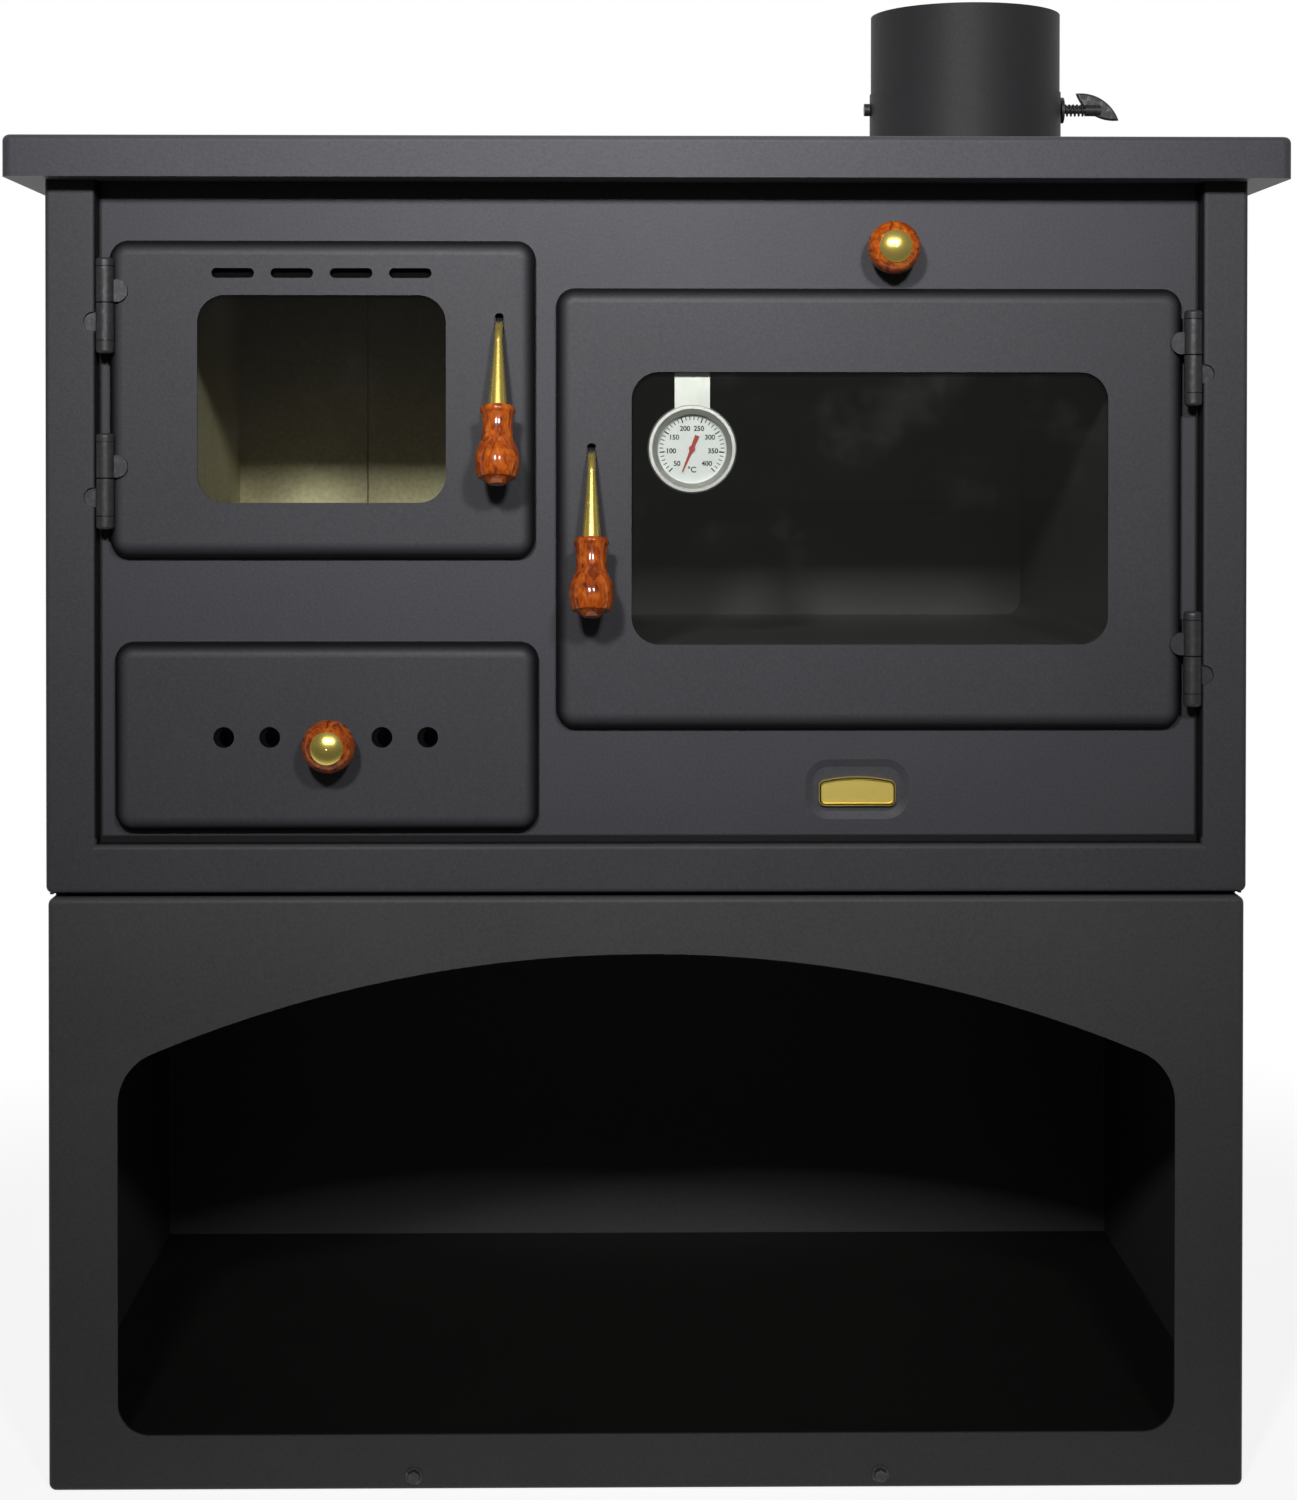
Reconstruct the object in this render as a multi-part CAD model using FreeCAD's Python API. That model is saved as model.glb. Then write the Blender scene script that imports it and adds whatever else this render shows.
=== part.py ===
"""Wood-burning cookstove with a glazed firebox, an oven, an ash drawer and a wood store.

Millimetres. The front faces -Y, +Z is up, and the origin is on the floor under the middle of the stove.
"""
import FreeCAD, Part
import math
import os

V = FreeCAD.Vector

# Body and base
body_width = 755.5
body_depth = 460.0
base_height = 373.8
body_height = 450.2
hob_rim = 26.0
body_sheet = 2.0
side_flange = 14.0
back_fold = 14.0
fold_corner = 4.6
fold_edge = 3.6
base_inset = 1.2
base_fold = 26.0
base_floor_height = 27.0
base_floor_fold = 18.0
base_rib_width = 60.0

# Arched opening of the wood store
store_side_margin = 44.75
store_sill = 35.0
store_crown = 338.0
store_arch_r = 807.0
store_shoulder_r = 35.0
store_corner_r = 20.0

# Front frame and the panel set back in it
post_width = 31.75
right_post_width = 28.75
rail_height = 33.2
frame_depth = 14.0
frame_edge = 3.2
frame_lift = 2.6
panel_sheet = 4.0

# Hob plate, its lid and the flue
hob_overhang = 22.25
hob_thickness = 8.0
hob_seat = 16.0
hob_corner = 6.0
hob_edge = 4.0
lid_r = 92.0
lid_ledge = 8.0
lid_step = 4.5
lid_back = 170.0
lid_pocket_r = 7.0
lid_pocket_depth = 2.5
lid_pocket_offset = 60.0
flue_r = 68.5
flue_wall = 2.5
flue_stop = 0.8
flue_stop_height = 64.0
flue_height = 120.5
flue_flange_r = 84.0
flue_flange = 5.0
flue_from_right = 141.75
flue_from_front = 298.25

# Flue damper
damper_lift = 52.8
damper_gap = 1.5
damper_disc = 2.5
damper_shaft_r = 2.5
damper_nut_r = 4.5
damper_nut = 4.0
damper_washer_r = 9.4
damper_washer = 2.2
damper_off_wall = 0.4
spring_length = 16.0
spring_mean_r = 3.75
spring_wire_r = 0.75
spring_turns = 5
spring_ease = 0.15
spring_samples = 7
key_hub_r = 4.2
key_hub = 11.0
key_wall = 4.0
key_length = 37.0
key_width = 13.0
key_thickness = 4.0
key_round = 1.4
key_out = 9.0
key_lift = 2.5
key_tilt = 32.0

# Doors and drawer front, all pressed alike
door_sink = 2.0
door_sheet = 2.0
front_corner = 12.0
front_edge = 9.5
seal_gap = 1.0
doors_parting = -64.4
doors_gap = 12.8
oven_hinge_gap = 4.5
firebox_hinge_gap = 0.3
firebox_door_drop = 37.2
firebox_door_height = 199.8
firebox_window_side = 56.1
firebox_window_rise = 34.7
oven_door_drop = 66.9
oven_door_height = 277.6
oven_window_side = 47.7
oven_window_rise = 53.0
window_corner = 17.5
air_slot_width = 26.6
air_slot_height = 6.2
air_slot_pitch = 37.1
air_slot_rise = 13.8
air_slot_round_share = 0.48
air_slot_count = 4

# Glass, its frame and the rope seal
glass_lap = 8.0
glass_thickness = 4.0
glass_tape = 0.4
clamp_step = 3.0
frame_plate = 1.2
rope_width = 9.0
rope_round = 1.6
mouth_margin = 6.0
rope_gap = 4.0

# Hinges
hinge_clear = 0.35
knuckle_r = 5.65
hinge_pin_r = 3.0
hinge_length = 60.0
hinge_top_cap = 5.5
hinge_low_cap = 8.5
hinge_split = 28.0
hinge_play = 0.4
hinge_cap_round = 2.0
hinge_lug_r = 7.0
hinge_lug_reach = 14.0
hinge_lug_proud = 2.5
hinge_leaf_reach = 14.5
hinge_notch_lap = 1.0
hinge_round_share = 0.98
firebox_hinge_drops = (11.6, 121.6)
oven_hinge_drops = (14.0, 203.5)

# Latch handles
latch_inset = 22.6
firebox_latch_lift = 46.0
oven_latch_lift = 33.0
latch_pivot_depth = 7.3
latch_slot_width = 6.3
latch_slot_up = 8.0
latch_slot_down = 6.0
latch_pin_r = 2.5
lever_thickness = 4.0
lever_arm = 5.0
lever_boss_r = 5.5
lever_reach = 7.0
lever_hook = 6.0
lever_hook_rise = 6.0
lever_round = 1.2
lever_swing = 3.0
lever_drop = 14.0
bracket_sheet = 2.5
bracket_play = 0.4
bracket_width = 21.0
bracket_height = 26.0
bracket_cheek_half = 8.5
bracket_slot_half = 10.0
bracket_depth = 9.0
horn_start = 1.5
horn_tip_r = 2.5
horn_bend_r = 14.0
horn_length = 42.0
horn_end_r = 6.0
horn_tilt = 14.0
tang_r = 3.0
tang_length = 34.0
tang_fit = 0.05
grip_length = 49.0
grip_collar_r = 11.0
grip_neck_r = 9.4
grip_bulge_r = 13.8
grip_foot_r = 5.0
grip_collar_shares = (0.045, 0.095)
grip_neck_shares = (0.26, 0.44)
grip_bulge_shares = (0.74, 0.92)
grip_waist_share = 0.30
grip_heel_share = 0.84

# Wooden knobs with brass caps
knob_r = 16.5
knob_back_r = 9.0
knob_front_r = 10.8
knob_depth = 20.5
knob_widest_share = 0.5
knob_swell_shares = (0.945, 0.22)
knob_brow_shares = (0.90, 0.82)
knob_standoff = 9.0
knob_stem_r = 4.0
knob_stem_fit = 0.05
knob_stem_stop = 1.0
cap_r = 10.2
cap_rim = 1.2
cap_rise = 4.6

# Ash drawer and air slide
drawer_shift = 3.0
drawer_trim = 1.0
drawer_front_lift = 7.7
drawer_front_height = 119.2
drawer_depth = 300.0
pan_sheet = 1.5
pan_clear = 6.0
pan_lift = 50.0
pan_height = 86.0
pan_opening = 3.0
runner_sheet = 2.0
runner_ledge = 14.0
runner_height = 26.0
air_hole_r = 6.6
air_hole_first = 35.2
air_hole_pitch = 28.8
air_knob_drop = 3.6
air_slide_rest = 3.6
air_slide_shut = 14.0
air_slide_half = 96.0
air_slide_height = 34.0
air_slide_sheet = 2.0
air_slide_fit = 0.3
air_guide_lap = 4.0
air_guide_sheet = 2.0
air_guide_overrun = 16.0
pan_air_height = 30.0

# Firebox lining
firebox_reveal = 12.0
brick_thickness = 24.0
brick_setback = 15.0
brick_joint = 0.8
brick_headroom = 42.0
firebox_depth = 300.0
jacket_sheet = 3.0
grate_drop = 26.0
grate_plate = 4.0
grate_thickness = 12.0
grate_margin = 10.0
grate_lap = 10.0
grate_slot = 9.0
grate_bar = 8.0
grate_slot_count = 9
grate_round_share = 0.45

# Oven, flue chamber and the direct-draught pull
oven_sheet = 2.0
oven_corner = 12.0
oven_depth = 380.0
chamber_sheet = 2.0
chamber_margin = 18.0
chamber_reach = 52.0
bypass_from_right = 223.75
bypass_drop = 42.0
bypass_rod_r = 4.0
bypass_rod_fit = 0.08
bypass_plate_half = 40.0
bypass_hole_half = 32.0
bypass_plate = 2.5
bypass_corner = 6.0

# Dial thermometer
dial_case_r = 28.2
dial_r = 22.0
dial_case_depth = 12.0
dial_case_back = 2.0
dial_bezel = 4.0
dial_waist = 1.5
dial_lip = 0.9
dial_flare = 3.3
dial_cone = 3.0
dial_from_left = 86.1
dial_lift = 37.5
dial_glass_gap = 1.2
dial_sheet = 0.6
dial_depth = 7.0
lens_thickness = 1.2
lens_depth = 3.2
strap_width = 22.3
strap_sheet = 1.2
strap_lap = 5.0
strap_bite = 2.9
needle_length = 16.0
needle_tail = 9.0
needle_tip_half = 0.35
needle_tail_half = 1.5
needle_sheet = 0.7
needle_hub_r = 2.0
needle_hub = 1.6
needle_rest = -157.7

# Brass badge
badge_width = 48.5
badge_height = 18.4
badge_bow = 3.0
badge_thickness = 2.2
badge_rim = 1.6
badge_recess = 0.7
badge_corner = 4.0
badge_from_middle = -6.75
badge_lift = 31.6
dish_width = 66.0
dish_height = 38.0
dish_corner = 15.0
dish_slope = 5.0
dish_depth = 2.0
dish_lift = 1.3

# Fits and tolerances
fit = 0.3
run_fit = 0.05
soft_gap = 0.3
overrun = 5.0
touch = 1e-4

# Planes and spans that several pieces share
body_x = (-body_width / 2, body_width / 2)
body_y = (-body_depth / 2, body_depth / 2)
body_top = base_height + body_height
body_z = (base_height, body_top)
hob_top = body_top + hob_rim
base_x = (body_x[0] + base_inset, body_x[1] - base_inset)
hob_under = hob_top - hob_thickness
frame_y = body_y[0]
panel_y = frame_y + frame_depth
panel_back = panel_y + panel_sheet
front_y = frame_y + door_sink
door_back = panel_y - seal_gap
through_y = (front_y - overrun, panel_back + overrun)
opening_x = (body_x[0] + post_width, body_x[1] - right_post_width)
rail_top = base_height + rail_height
hinge_y = frame_y
leaf_y = (frame_y + body_sheet, hinge_y + knuckle_r)
left_hinge_x = opening_x[0] + knuckle_r + hinge_clear
right_hinge_x = opening_x[1] - knuckle_r - hinge_clear
glass_front = front_y + door_sheet + glass_tape
glass_back = glass_front + glass_thickness
plate_front = glass_back + glass_tape
plate_back = plate_front + frame_plate
barrel_reach = front_edge + knuckle_r + fit
edge_gap = math.sqrt(barrel_reach ** 2 - (front_y + front_edge - hinge_y) ** 2) - front_edge

firebox_x = (left_hinge_x + edge_gap + firebox_hinge_gap, doors_parting - doors_gap / 2)
firebox_z = (body_top - firebox_door_drop - firebox_door_height, body_top - firebox_door_drop)
oven_x = (doors_parting + doors_gap / 2, right_hinge_x - edge_gap - oven_hinge_gap)
oven_z = (body_top - oven_door_drop - oven_door_height, body_top - oven_door_drop)
drawer_x = (firebox_x[0] + drawer_shift, firebox_x[1] + drawer_shift - drawer_trim)
drawer_z = (rail_top + drawer_front_lift, rail_top + drawer_front_lift + drawer_front_height)


def grow(span, by):
    """A (low, high) span widened by the same amount at both ends."""
    return (span[0] - by, span[1] + by)


def middle(span):
    return (span[0] + span[1]) / 2


firebox_window = (grow(firebox_x, -firebox_window_side), grow(firebox_z, -firebox_window_rise))
oven_window = (grow(oven_x, -oven_window_side), grow(oven_z, -oven_window_rise))
firebox_mouth = (grow(firebox_window[0], mouth_margin), grow(firebox_window[1], mouth_margin))
oven_mouth = (grow(oven_window[0], mouth_margin), grow(oven_window[1], mouth_margin))
firebox_latch = (firebox_x[1] - latch_inset, middle(firebox_z) + firebox_latch_lift)
oven_latch = (oven_x[0] + latch_inset, middle(oven_z) + oven_latch_lift)
latch_y = front_y + latch_pivot_depth
cheek = lever_thickness / 2 + bracket_play

chest_x = grow(firebox_mouth[0], firebox_reveal)
jacket_x = grow(chest_x, brick_thickness)
brick_y = (panel_back + brick_setback, panel_back + brick_setback + firebox_depth)
grate_top = firebox_mouth[1][0] - grate_drop + grate_thickness
grate_plate_top = firebox_mouth[1][0] - grate_drop
pan_x = grow(jacket_x, -pan_clear)
pan_z = (base_height + pan_lift, base_height + pan_lift + pan_height)
air_z = middle(drawer_z)
air_knob_z = air_z - air_knob_drop
slide_x = middle(drawer_x) + air_slide_rest
slide_y = (front_y + door_sheet + air_slide_fit, front_y + door_sheet + air_slide_fit + air_slide_sheet)
flue_x = body_x[1] - flue_from_right
flue_y = frame_y - hob_overhang + flue_from_front
flue_bore = flue_r - flue_wall
damper_z = hob_top + damper_lift
collar_r = flue_r + flue_stop
bypass_x = body_x[1] - bypass_from_right
bypass_z = body_top - bypass_drop
chamber_y = flue_y - flue_r - chamber_margin
badge_x = middle(oven_x) + badge_from_middle
badge_z = rail_top + badge_lift
dial_x = oven_x[0] + dial_from_left
dial_z = middle(oven_z) + dial_lift
dial_y = glass_back + dial_glass_gap


def box(x, y, z):
    """Box over three spans."""
    return Part.makeBox(x[1] - x[0], y[1] - y[0], z[1] - z[0], V(x[0], y[0], z[0]))


def rod_x(x, y, z, r):
    return Part.makeCylinder(r, x[1] - x[0], V(x[0], y, z), V(1, 0, 0))


def rod_y(x, y, z, r):
    return Part.makeCylinder(r, y[1] - y[0], V(x, y[0], z), V(0, 1, 0))


def rod_z(x, y, z, r):
    return Part.makeCylinder(r, z[1] - z[0], V(x, y, z[0]), V(0, 0, 1))


def quarter_arc(x, z, r, start, y):
    """Quarter circle in the front view, anticlockwise from the angle start."""
    angles = [math.radians(start + turn) for turn in (0, 45, 90)]
    return Part.Arc(*[V(x + r * math.cos(a), y, z + r * math.sin(a)) for a in angles]).toShape()


def closed_wire(edges):
    """Wire through edges in order, with straight lines across the gaps between them."""
    joined = []
    for edge, following in zip(edges, edges[1:] + edges[:1]):
        end, start = edge.valueAt(edge.LastParameter), following.valueAt(following.FirstParameter)
        joined.append(edge)
        if (end - start).Length > touch:
            joined.append(Part.makeLine(end, start))
    return Part.Wire(joined)


def outline(x, z, r, y):
    """Rectangle with rounded corners in the front view, at one depth."""
    corners = ((x[1] - r, z[0] + r, -90), (x[1] - r, z[1] - r, 0),
               (x[0] + r, z[1] - r, 90), (x[0] + r, z[0] + r, 180))
    return closed_wire([quarter_arc(cx, cz, r, start, y) for cx, cz, start in corners])


def slab(x, z, r, y):
    """Slab with rounded corners in the front view, between two depths."""
    return Part.Face(outline(x, z, r, y[0])).extrude(V(0, y[1] - y[0], 0))


def soften(shape, axis, level, r):
    """Round the edges that lie in one plane across an axis, "X", "Y" or "Z"."""
    rim = [e for e in shape.Edges if all(abs(getattr(v, axis) - level) < touch for v in e.Vertexes)]
    return shape.makeFillet(r, rim)


def soften_uprights(shape, r, keep):
    """Round the vertical edges for which keep(x, y) is true."""
    uprights = []
    for edge in shape.Edges:
        ends = [v.Point for v in edge.Vertexes]
        upright = len(ends) == 2 and (ends[1] - ends[0]).cross(V(0, 0, 1)).Length < touch
        if upright and keep(ends[0].x, ends[0].y):
            uprights.append(edge)
    return shape.makeFillet(r, uprights)


def tray(x, z, corner, edge, sheet, face_y, rim_y):
    """Pressed sheet: a flat face at face_y with a soft edge, and a rim that runs to rim_y."""
    inward = math.copysign(sheet, rim_y - face_y)
    past = math.copysign(overrun, rim_y - face_y)
    outer = soften(slab(x, z, corner, (face_y, rim_y)), "Y", face_y, edge)
    hollow = slab(grow(x, -sheet), grow(z, -sheet), corner - sheet, (face_y + inward, rim_y + past))
    return outer.cut(soften(hollow, "Y", face_y + inward, edge - sheet))


def tray_inset(y):
    """How far inside a pressed front's outline a plate at depth y clears the soft edge."""
    bend = front_edge - door_sheet
    rise = max(front_y + front_edge - y, 0)
    return front_edge - math.sqrt(bend ** 2 - rise ** 2) + fit


def turned(profile):
    """Solid turned about Z from (radius, height) points; a pair of points is an arc through the first."""
    def at(point):
        return V(point[0], 0, point[1])

    here = profile[0]
    edges = []
    for step in profile[1:]:
        if isinstance(step[0], tuple):
            edges.append(Part.Arc(at(here), at(step[0]), at(step[1])).toShape())
            here = step[1]
        else:
            edges.append(Part.makeLine(at(here), at(step)))
            here = step
    return Part.Face(closed_wire(edges)).revolve(V(0, 0, 0), V(0, 0, 1), 360)


def dome(r, low, high):
    """Arc of a round dome for turned(), from its rim up to its crown on the axis."""
    rise = high - low
    ball = (r ** 2 + rise ** 2) / (2 * rise)
    half = math.asin(r / ball) / 2
    return ((ball * math.sin(half), high - ball * (1 - math.cos(half))), (0, high))


def place(shape, origin, direction):
    """A shape made along Z, moved to an origin and turned to a direction."""
    shape.Placement = FreeCAD.Placement(origin, FreeCAD.Rotation(V(0, 0, 1), direction))
    return shape


def store_opening(y):
    """Arched opening of the wood store, through the depth span y."""
    x = grow(body_x, -store_side_margin)
    arch_z = store_crown - store_arch_r
    fillet_x = x[1] - store_shoulder_r
    fillet_z = arch_z + math.sqrt((store_arch_r - store_shoulder_r) ** 2 - fillet_x ** 2)
    start = math.degrees(math.atan2(fillet_z - arch_z, fillet_x))
    centre = middle(x)

    def arc(cx, cz, r, first, last):
        angles = [math.radians(a) for a in (first, (first + last) / 2, last)]
        return Part.Arc(*[V(cx + r * math.cos(a), y[0], cz + r * math.sin(a)) for a in angles]).toShape()

    low = store_sill + store_corner_r
    outline = [arc(x[1] - store_corner_r, low, store_corner_r, -90, 0),
               arc(fillet_x, fillet_z, store_shoulder_r, 0, start),
               arc(centre, arch_z, store_arch_r, start, 180 - start),
               arc(-fillet_x, fillet_z, store_shoulder_r, 180 - start, 180),
               arc(x[0] + store_corner_r, low, store_corner_r, 180, 270)]
    return Part.Face(closed_wire(outline)).extrude(V(0, y[1] - y[0], 0))


def base_pieces():
    """Stand with the arched wood store: front sheet, side and back sheet, floor."""
    front = tray(base_x, (0, base_height), fold_corner, fold_edge, body_sheet, frame_y, frame_y + base_fold)
    front = front.cut(store_opening((frame_y - overrun, frame_y + body_sheet + overrun)))

    def at_back(x, y):
        return y > 0

    wrap_y = (frame_y + base_fold, body_y[1])
    wrap = soften_uprights(box(base_x, wrap_y, (0, base_height)), fold_corner, at_back)
    inside_y = (wrap_y[0] - overrun, wrap_y[1] - body_sheet)
    inside = box(grow(base_x, -body_sheet), inside_y, (-overrun, base_height + overrun))
    wrap = wrap.cut(soften_uprights(inside, fold_corner - body_sheet, at_back))

    floor_x = grow(base_x, -body_sheet - fit)
    floor_y = (frame_y + body_sheet + fit, body_y[1] - body_sheet - fit)
    floor = box(floor_x, floor_y, (base_floor_height - base_floor_fold, base_floor_height))
    floor = soften_uprights(floor, fold_corner - body_sheet, lambda px, py: True)
    under = (base_floor_height - base_floor_fold - overrun, base_floor_height - body_sheet)
    floor = floor.cut(box(grow(floor_x, -body_sheet), grow(floor_y, -body_sheet), under))
    rib_x, rib_y = grow(floor_x, -body_sheet), (-base_rib_width / 2, base_rib_width / 2)
    rib = box(rib_x, rib_y, (0, base_floor_height - body_sheet))
    rib = rib.cut(box(rib_x, grow(rib_y, -body_sheet), (body_sheet, base_floor_height - body_sheet)))
    floor = floor.fuse(rib).removeSplitter()
    return {"base_front": front, "base_wrap": wrap, "base_floor": floor}


def body_pieces():
    """Sides with a folded front flange, pressed back and floor."""
    floor_top = base_height + body_sheet
    side_y = (panel_y, body_y[1] - back_fold)
    pieces = {}
    for name, sign in (("left", -1), ("right", 1)):
        outer, inner = sign * body_width / 2, sign * (body_width / 2 - body_sheet)
        lip = inner - sign * side_flange
        web = box(sorted((outer, inner)), side_y, body_z)
        flange = box(sorted((inner, lip)), (panel_back, panel_back + body_sheet), (floor_top + fit, body_top))
        pieces["body_side_" + name] = web.fuse(flange).removeSplitter()
    back = tray(body_x, body_z, fold_corner, fold_edge, body_sheet, body_y[1], body_y[1] - back_fold)
    floor = box(grow(body_x, -body_sheet - fit), (panel_back, body_y[1] - back_fold), (base_height, floor_top))
    return pieces | {"body_back": back, "body_floor": floor}


def front_frame():
    """Two posts and the bottom rail, folded from sheet and open at the back."""
    reach = body_top + fold_corner + overrun
    foot = base_height + frame_lift
    frame = slab(body_x, (foot, reach), fold_corner, (frame_y, panel_y))
    frame = frame.cut(box(opening_x, (frame_y - overrun, panel_y + overrun), (rail_top, reach + overrun)))
    frame = soften(frame, "Y", frame_y, frame_edge)
    hollow_z = (foot + body_sheet, body_top - body_sheet)
    hollow_y = (frame_y + body_sheet, panel_y + overrun)
    hollow = slab(grow(body_x, -body_sheet), hollow_z, fold_corner - body_sheet, hollow_y)
    hollow = hollow.cut(box(grow(opening_x, body_sheet), hollow_y, (rail_top - body_sheet, body_top)))
    above = box(grow(body_x, overrun), (frame_y - overrun, panel_y + overrun), (body_top, reach + overrun))
    cuts = [hollow, above]
    for hinge in leaf_hinges():
        cuts.append(leaf_slab(hinge, -hinge_notch_lap, (frame_y - overrun, frame_y + body_sheet)))
        cuts.append(leaf_slab(hinge, 0, leaf_y))
    return frame.cut(cuts)


def drawer_opening():
    """Spans of the ash drawer's opening in the panel."""
    return grow(pan_x, pan_opening), grow(pan_z, pan_opening)


def latch_slot(latch, y):
    """Slot for a latch lever's tail, with room for its drop and for the door's swing."""
    half = lever_thickness / 2 + lever_swing
    rise = lever_arm / 2 + lever_hook_rise + fit
    return box(grow((latch[0], latch[0]), half), y, (latch[1] - lever_drop, latch[1] + rise))


def front_panel():
    """Panel behind the doors, with the mouths of the firebox, the oven and the ash drawer."""
    panel = box(grow(body_x, -body_sheet - fit), (panel_y, panel_back), (base_height + body_sheet, body_top))
    for mouth in (firebox_mouth, oven_mouth):
        panel = panel.cut(slab(mouth[0], mouth[1], oven_corner, through_y))
    drawer = drawer_opening()
    panel = panel.cut(box(drawer[0], through_y, drawer[1]))
    for latch in (firebox_latch, oven_latch):
        panel = panel.cut(latch_slot(latch, through_y))
    panel = panel.cut(rod_y(bypass_x, through_y, bypass_z, bypass_rod_r + bypass_rod_fit))
    dish_x = grow((badge_x, badge_x), dish_width / 2)
    dish_z = grow((badge_z + dish_lift, badge_z + dish_lift), dish_height / 2)
    rim = outline(dish_x, dish_z, dish_corner, panel_y)
    floor_x, floor_z = grow(dish_x, -dish_slope), grow(dish_z, -dish_slope)
    floor = outline(floor_x, floor_z, dish_corner - dish_slope, panel_y + dish_depth)
    return panel.cut(Part.makeLoft([rim, floor], True, True))


def hob_pieces():
    """Hob plate with its deep rim, a seat for the lid and a hole under the flue, and the lid."""
    x, y = grow(body_x, hob_overhang), grow(body_y, hob_overhang)
    plate = soften_uprights(box(x, y, (body_top, hob_top)), hob_corner, lambda px, py: True)
    plate = soften(plate, "Z", hob_top, hob_edge)
    recess_y = (panel_back, body_y[1] - hob_seat)
    plate = plate.cut(box(grow(body_x, -hob_seat), recess_y, (body_top - overrun, hob_under)))
    lid_x, lid_y = middle(chest_x), y[0] + lid_back + lid_r - hob_overhang
    plate = plate.cut(rod_z(lid_x, lid_y, (hob_top - lid_step, hob_top + overrun), lid_r + fit))
    plate = plate.cut(rod_z(lid_x, lid_y, (body_top, hob_top + overrun), lid_r - lid_ledge + fit))
    plate = plate.cut(rod_z(flue_x, flue_y, (body_top, hob_top + overrun), flue_bore))
    lid = turned([(0, -hob_thickness), (lid_r - lid_ledge, -hob_thickness), (lid_r - lid_ledge, -lid_step),
                  (lid_r, -lid_step), (lid_r, 0), (0, 0)])
    lid = place(lid, V(lid_x, lid_y, hob_top), V(0, 0, 1))
    pocket_z = (hob_top - lid_pocket_depth, hob_top + overrun)
    lid = lid.cut(rod_z(lid_x, lid_y - lid_pocket_offset, pocket_z, lid_pocket_r))
    return {"hob_plate": plate, "hob_lid": lid}


def flue_collar():
    """Collar with a flange on the hob, a stop for the flue pipe and a spigot above it."""
    collar = turned([(flue_bore, 0), (flue_flange_r, 0), (flue_flange_r, flue_flange), (collar_r, flue_flange),
                     (collar_r, flue_stop_height), (flue_r, flue_stop_height), (flue_r, flue_height),
                     (flue_bore, flue_height)])
    collar = place(collar, V(flue_x, flue_y, hob_top), V(0, 0, 1))
    across = grow((flue_x, flue_x), collar_r + overrun)
    return collar.cut(rod_x(across, flue_y, damper_z, damper_shaft_r + run_fit))


def biarc(start, start_way, end, end_way):
    """Two arcs from start to end that leave and arrive along unit directions."""
    chord, ways = end - start, start_way + end_way
    bend = 2 * (1 - start_way.dot(end_way))
    reach = (math.sqrt(chord.dot(ways) ** 2 + bend * chord.dot(chord)) - chord.dot(ways)) / bend
    joint = (start + end + (start_way - end_way) * reach) / 2
    arcs = []
    for a, b, way in ((start, joint, start_way), (joint, end, (end - end_way * reach - joint).normalize())):
        half = (b - a) / 2
        across = way - half * (way.dot(half) / half.dot(half))
        sine = across.Length
        sagitta = half.Length * sine / (1 + math.sqrt(1 - sine ** 2))
        arcs.append(Part.Arc(a, a + half + across.normalize() * sagitta, b).toShape())
    return arcs


def damper_spring(x):
    """Spring round the damper shaft, one wire in open turns; prints the least gap between turns."""
    wire_d = 2 * spring_wire_r
    pitch = (x[1] - x[0] - wire_d) / spring_turns
    rise = pitch / (2 * math.pi)
    pace = math.hypot(spring_mean_r, rise)

    def point(turn):
        return V(x[0] + spring_wire_r + rise * turn,
                 flue_y + spring_mean_r * math.cos(turn), damper_z + spring_mean_r * math.sin(turn))

    def way(turn):
        return V(rise, -spring_mean_r * math.sin(turn), spring_mean_r * math.cos(turn)) / pace

    quarter, last = math.pi / 2, 2 * math.pi * spring_turns
    tips = (point(0) - way(0) * wire_d, point(last) + way(last) * wire_d)
    edges = [Part.makeLine(tips[0], point(0))]
    for step in range(4 * spring_turns):
        a, b = step * quarter, (step + 1) * quarter
        edges += biarc(point(a), way(a), point(b), way(b))
    edges.append(Part.makeLine(point(last), tips[1]))
    circle = Part.Circle(tips[0], way(0), spring_wire_r).toShape()
    print("damper spring, least gap between turns:", round(least_gap(edges) - wire_d, 3), "mm")
    return Part.Wire(edges).makePipeShell([Part.Wire(circle)], True, False)


def least_gap(edges):
    """Least distance between points on a wire's centre line that are half a turn or more apart."""
    points = [point for edge in edges for point in edge.discretize(spring_samples)[1:]]
    apart = 4 * (spring_samples - 1)
    pairs = [(a, b) for index, a in enumerate(points) for b in points[index + apart:]]
    return min((b - a).Length for a, b in pairs)


def damper_key(hub_x):
    """Leaf-shaped key on a round hub at the end of the damper shaft."""
    half, bow = key_length / 2, key_width / 2
    y = flue_y - key_thickness / 2
    ends = (V(-half, 0, 0), V(half, 0, 0))
    sides = [Part.Arc(ends[0], V(0, 0, bow), ends[1]).toShape(),
             Part.Arc(ends[1], V(0, 0, -bow), ends[0]).toShape()]
    leaf = Part.Face(Part.Wire(sides)).extrude(V(0, key_thickness, 0))
    leaf = soften(soften(leaf, "Y", 0, key_round), "Y", key_thickness, key_round)
    leaf.Placement = FreeCAD.Placement(V(hub_x[0] + key_out, y, damper_z + key_lift),
                                       FreeCAD.Rotation(V(0, 1, 0), key_tilt))
    key = leaf.fuse(rod_x(hub_x, flue_y, damper_z, key_hub_r)).removeSplitter()
    bore_x = (hub_x[0] - overrun, hub_x[1] - key_wall + fit)
    return key.cut(rod_x(bore_x, flue_y, damper_z, damper_shaft_r + run_fit))


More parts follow.
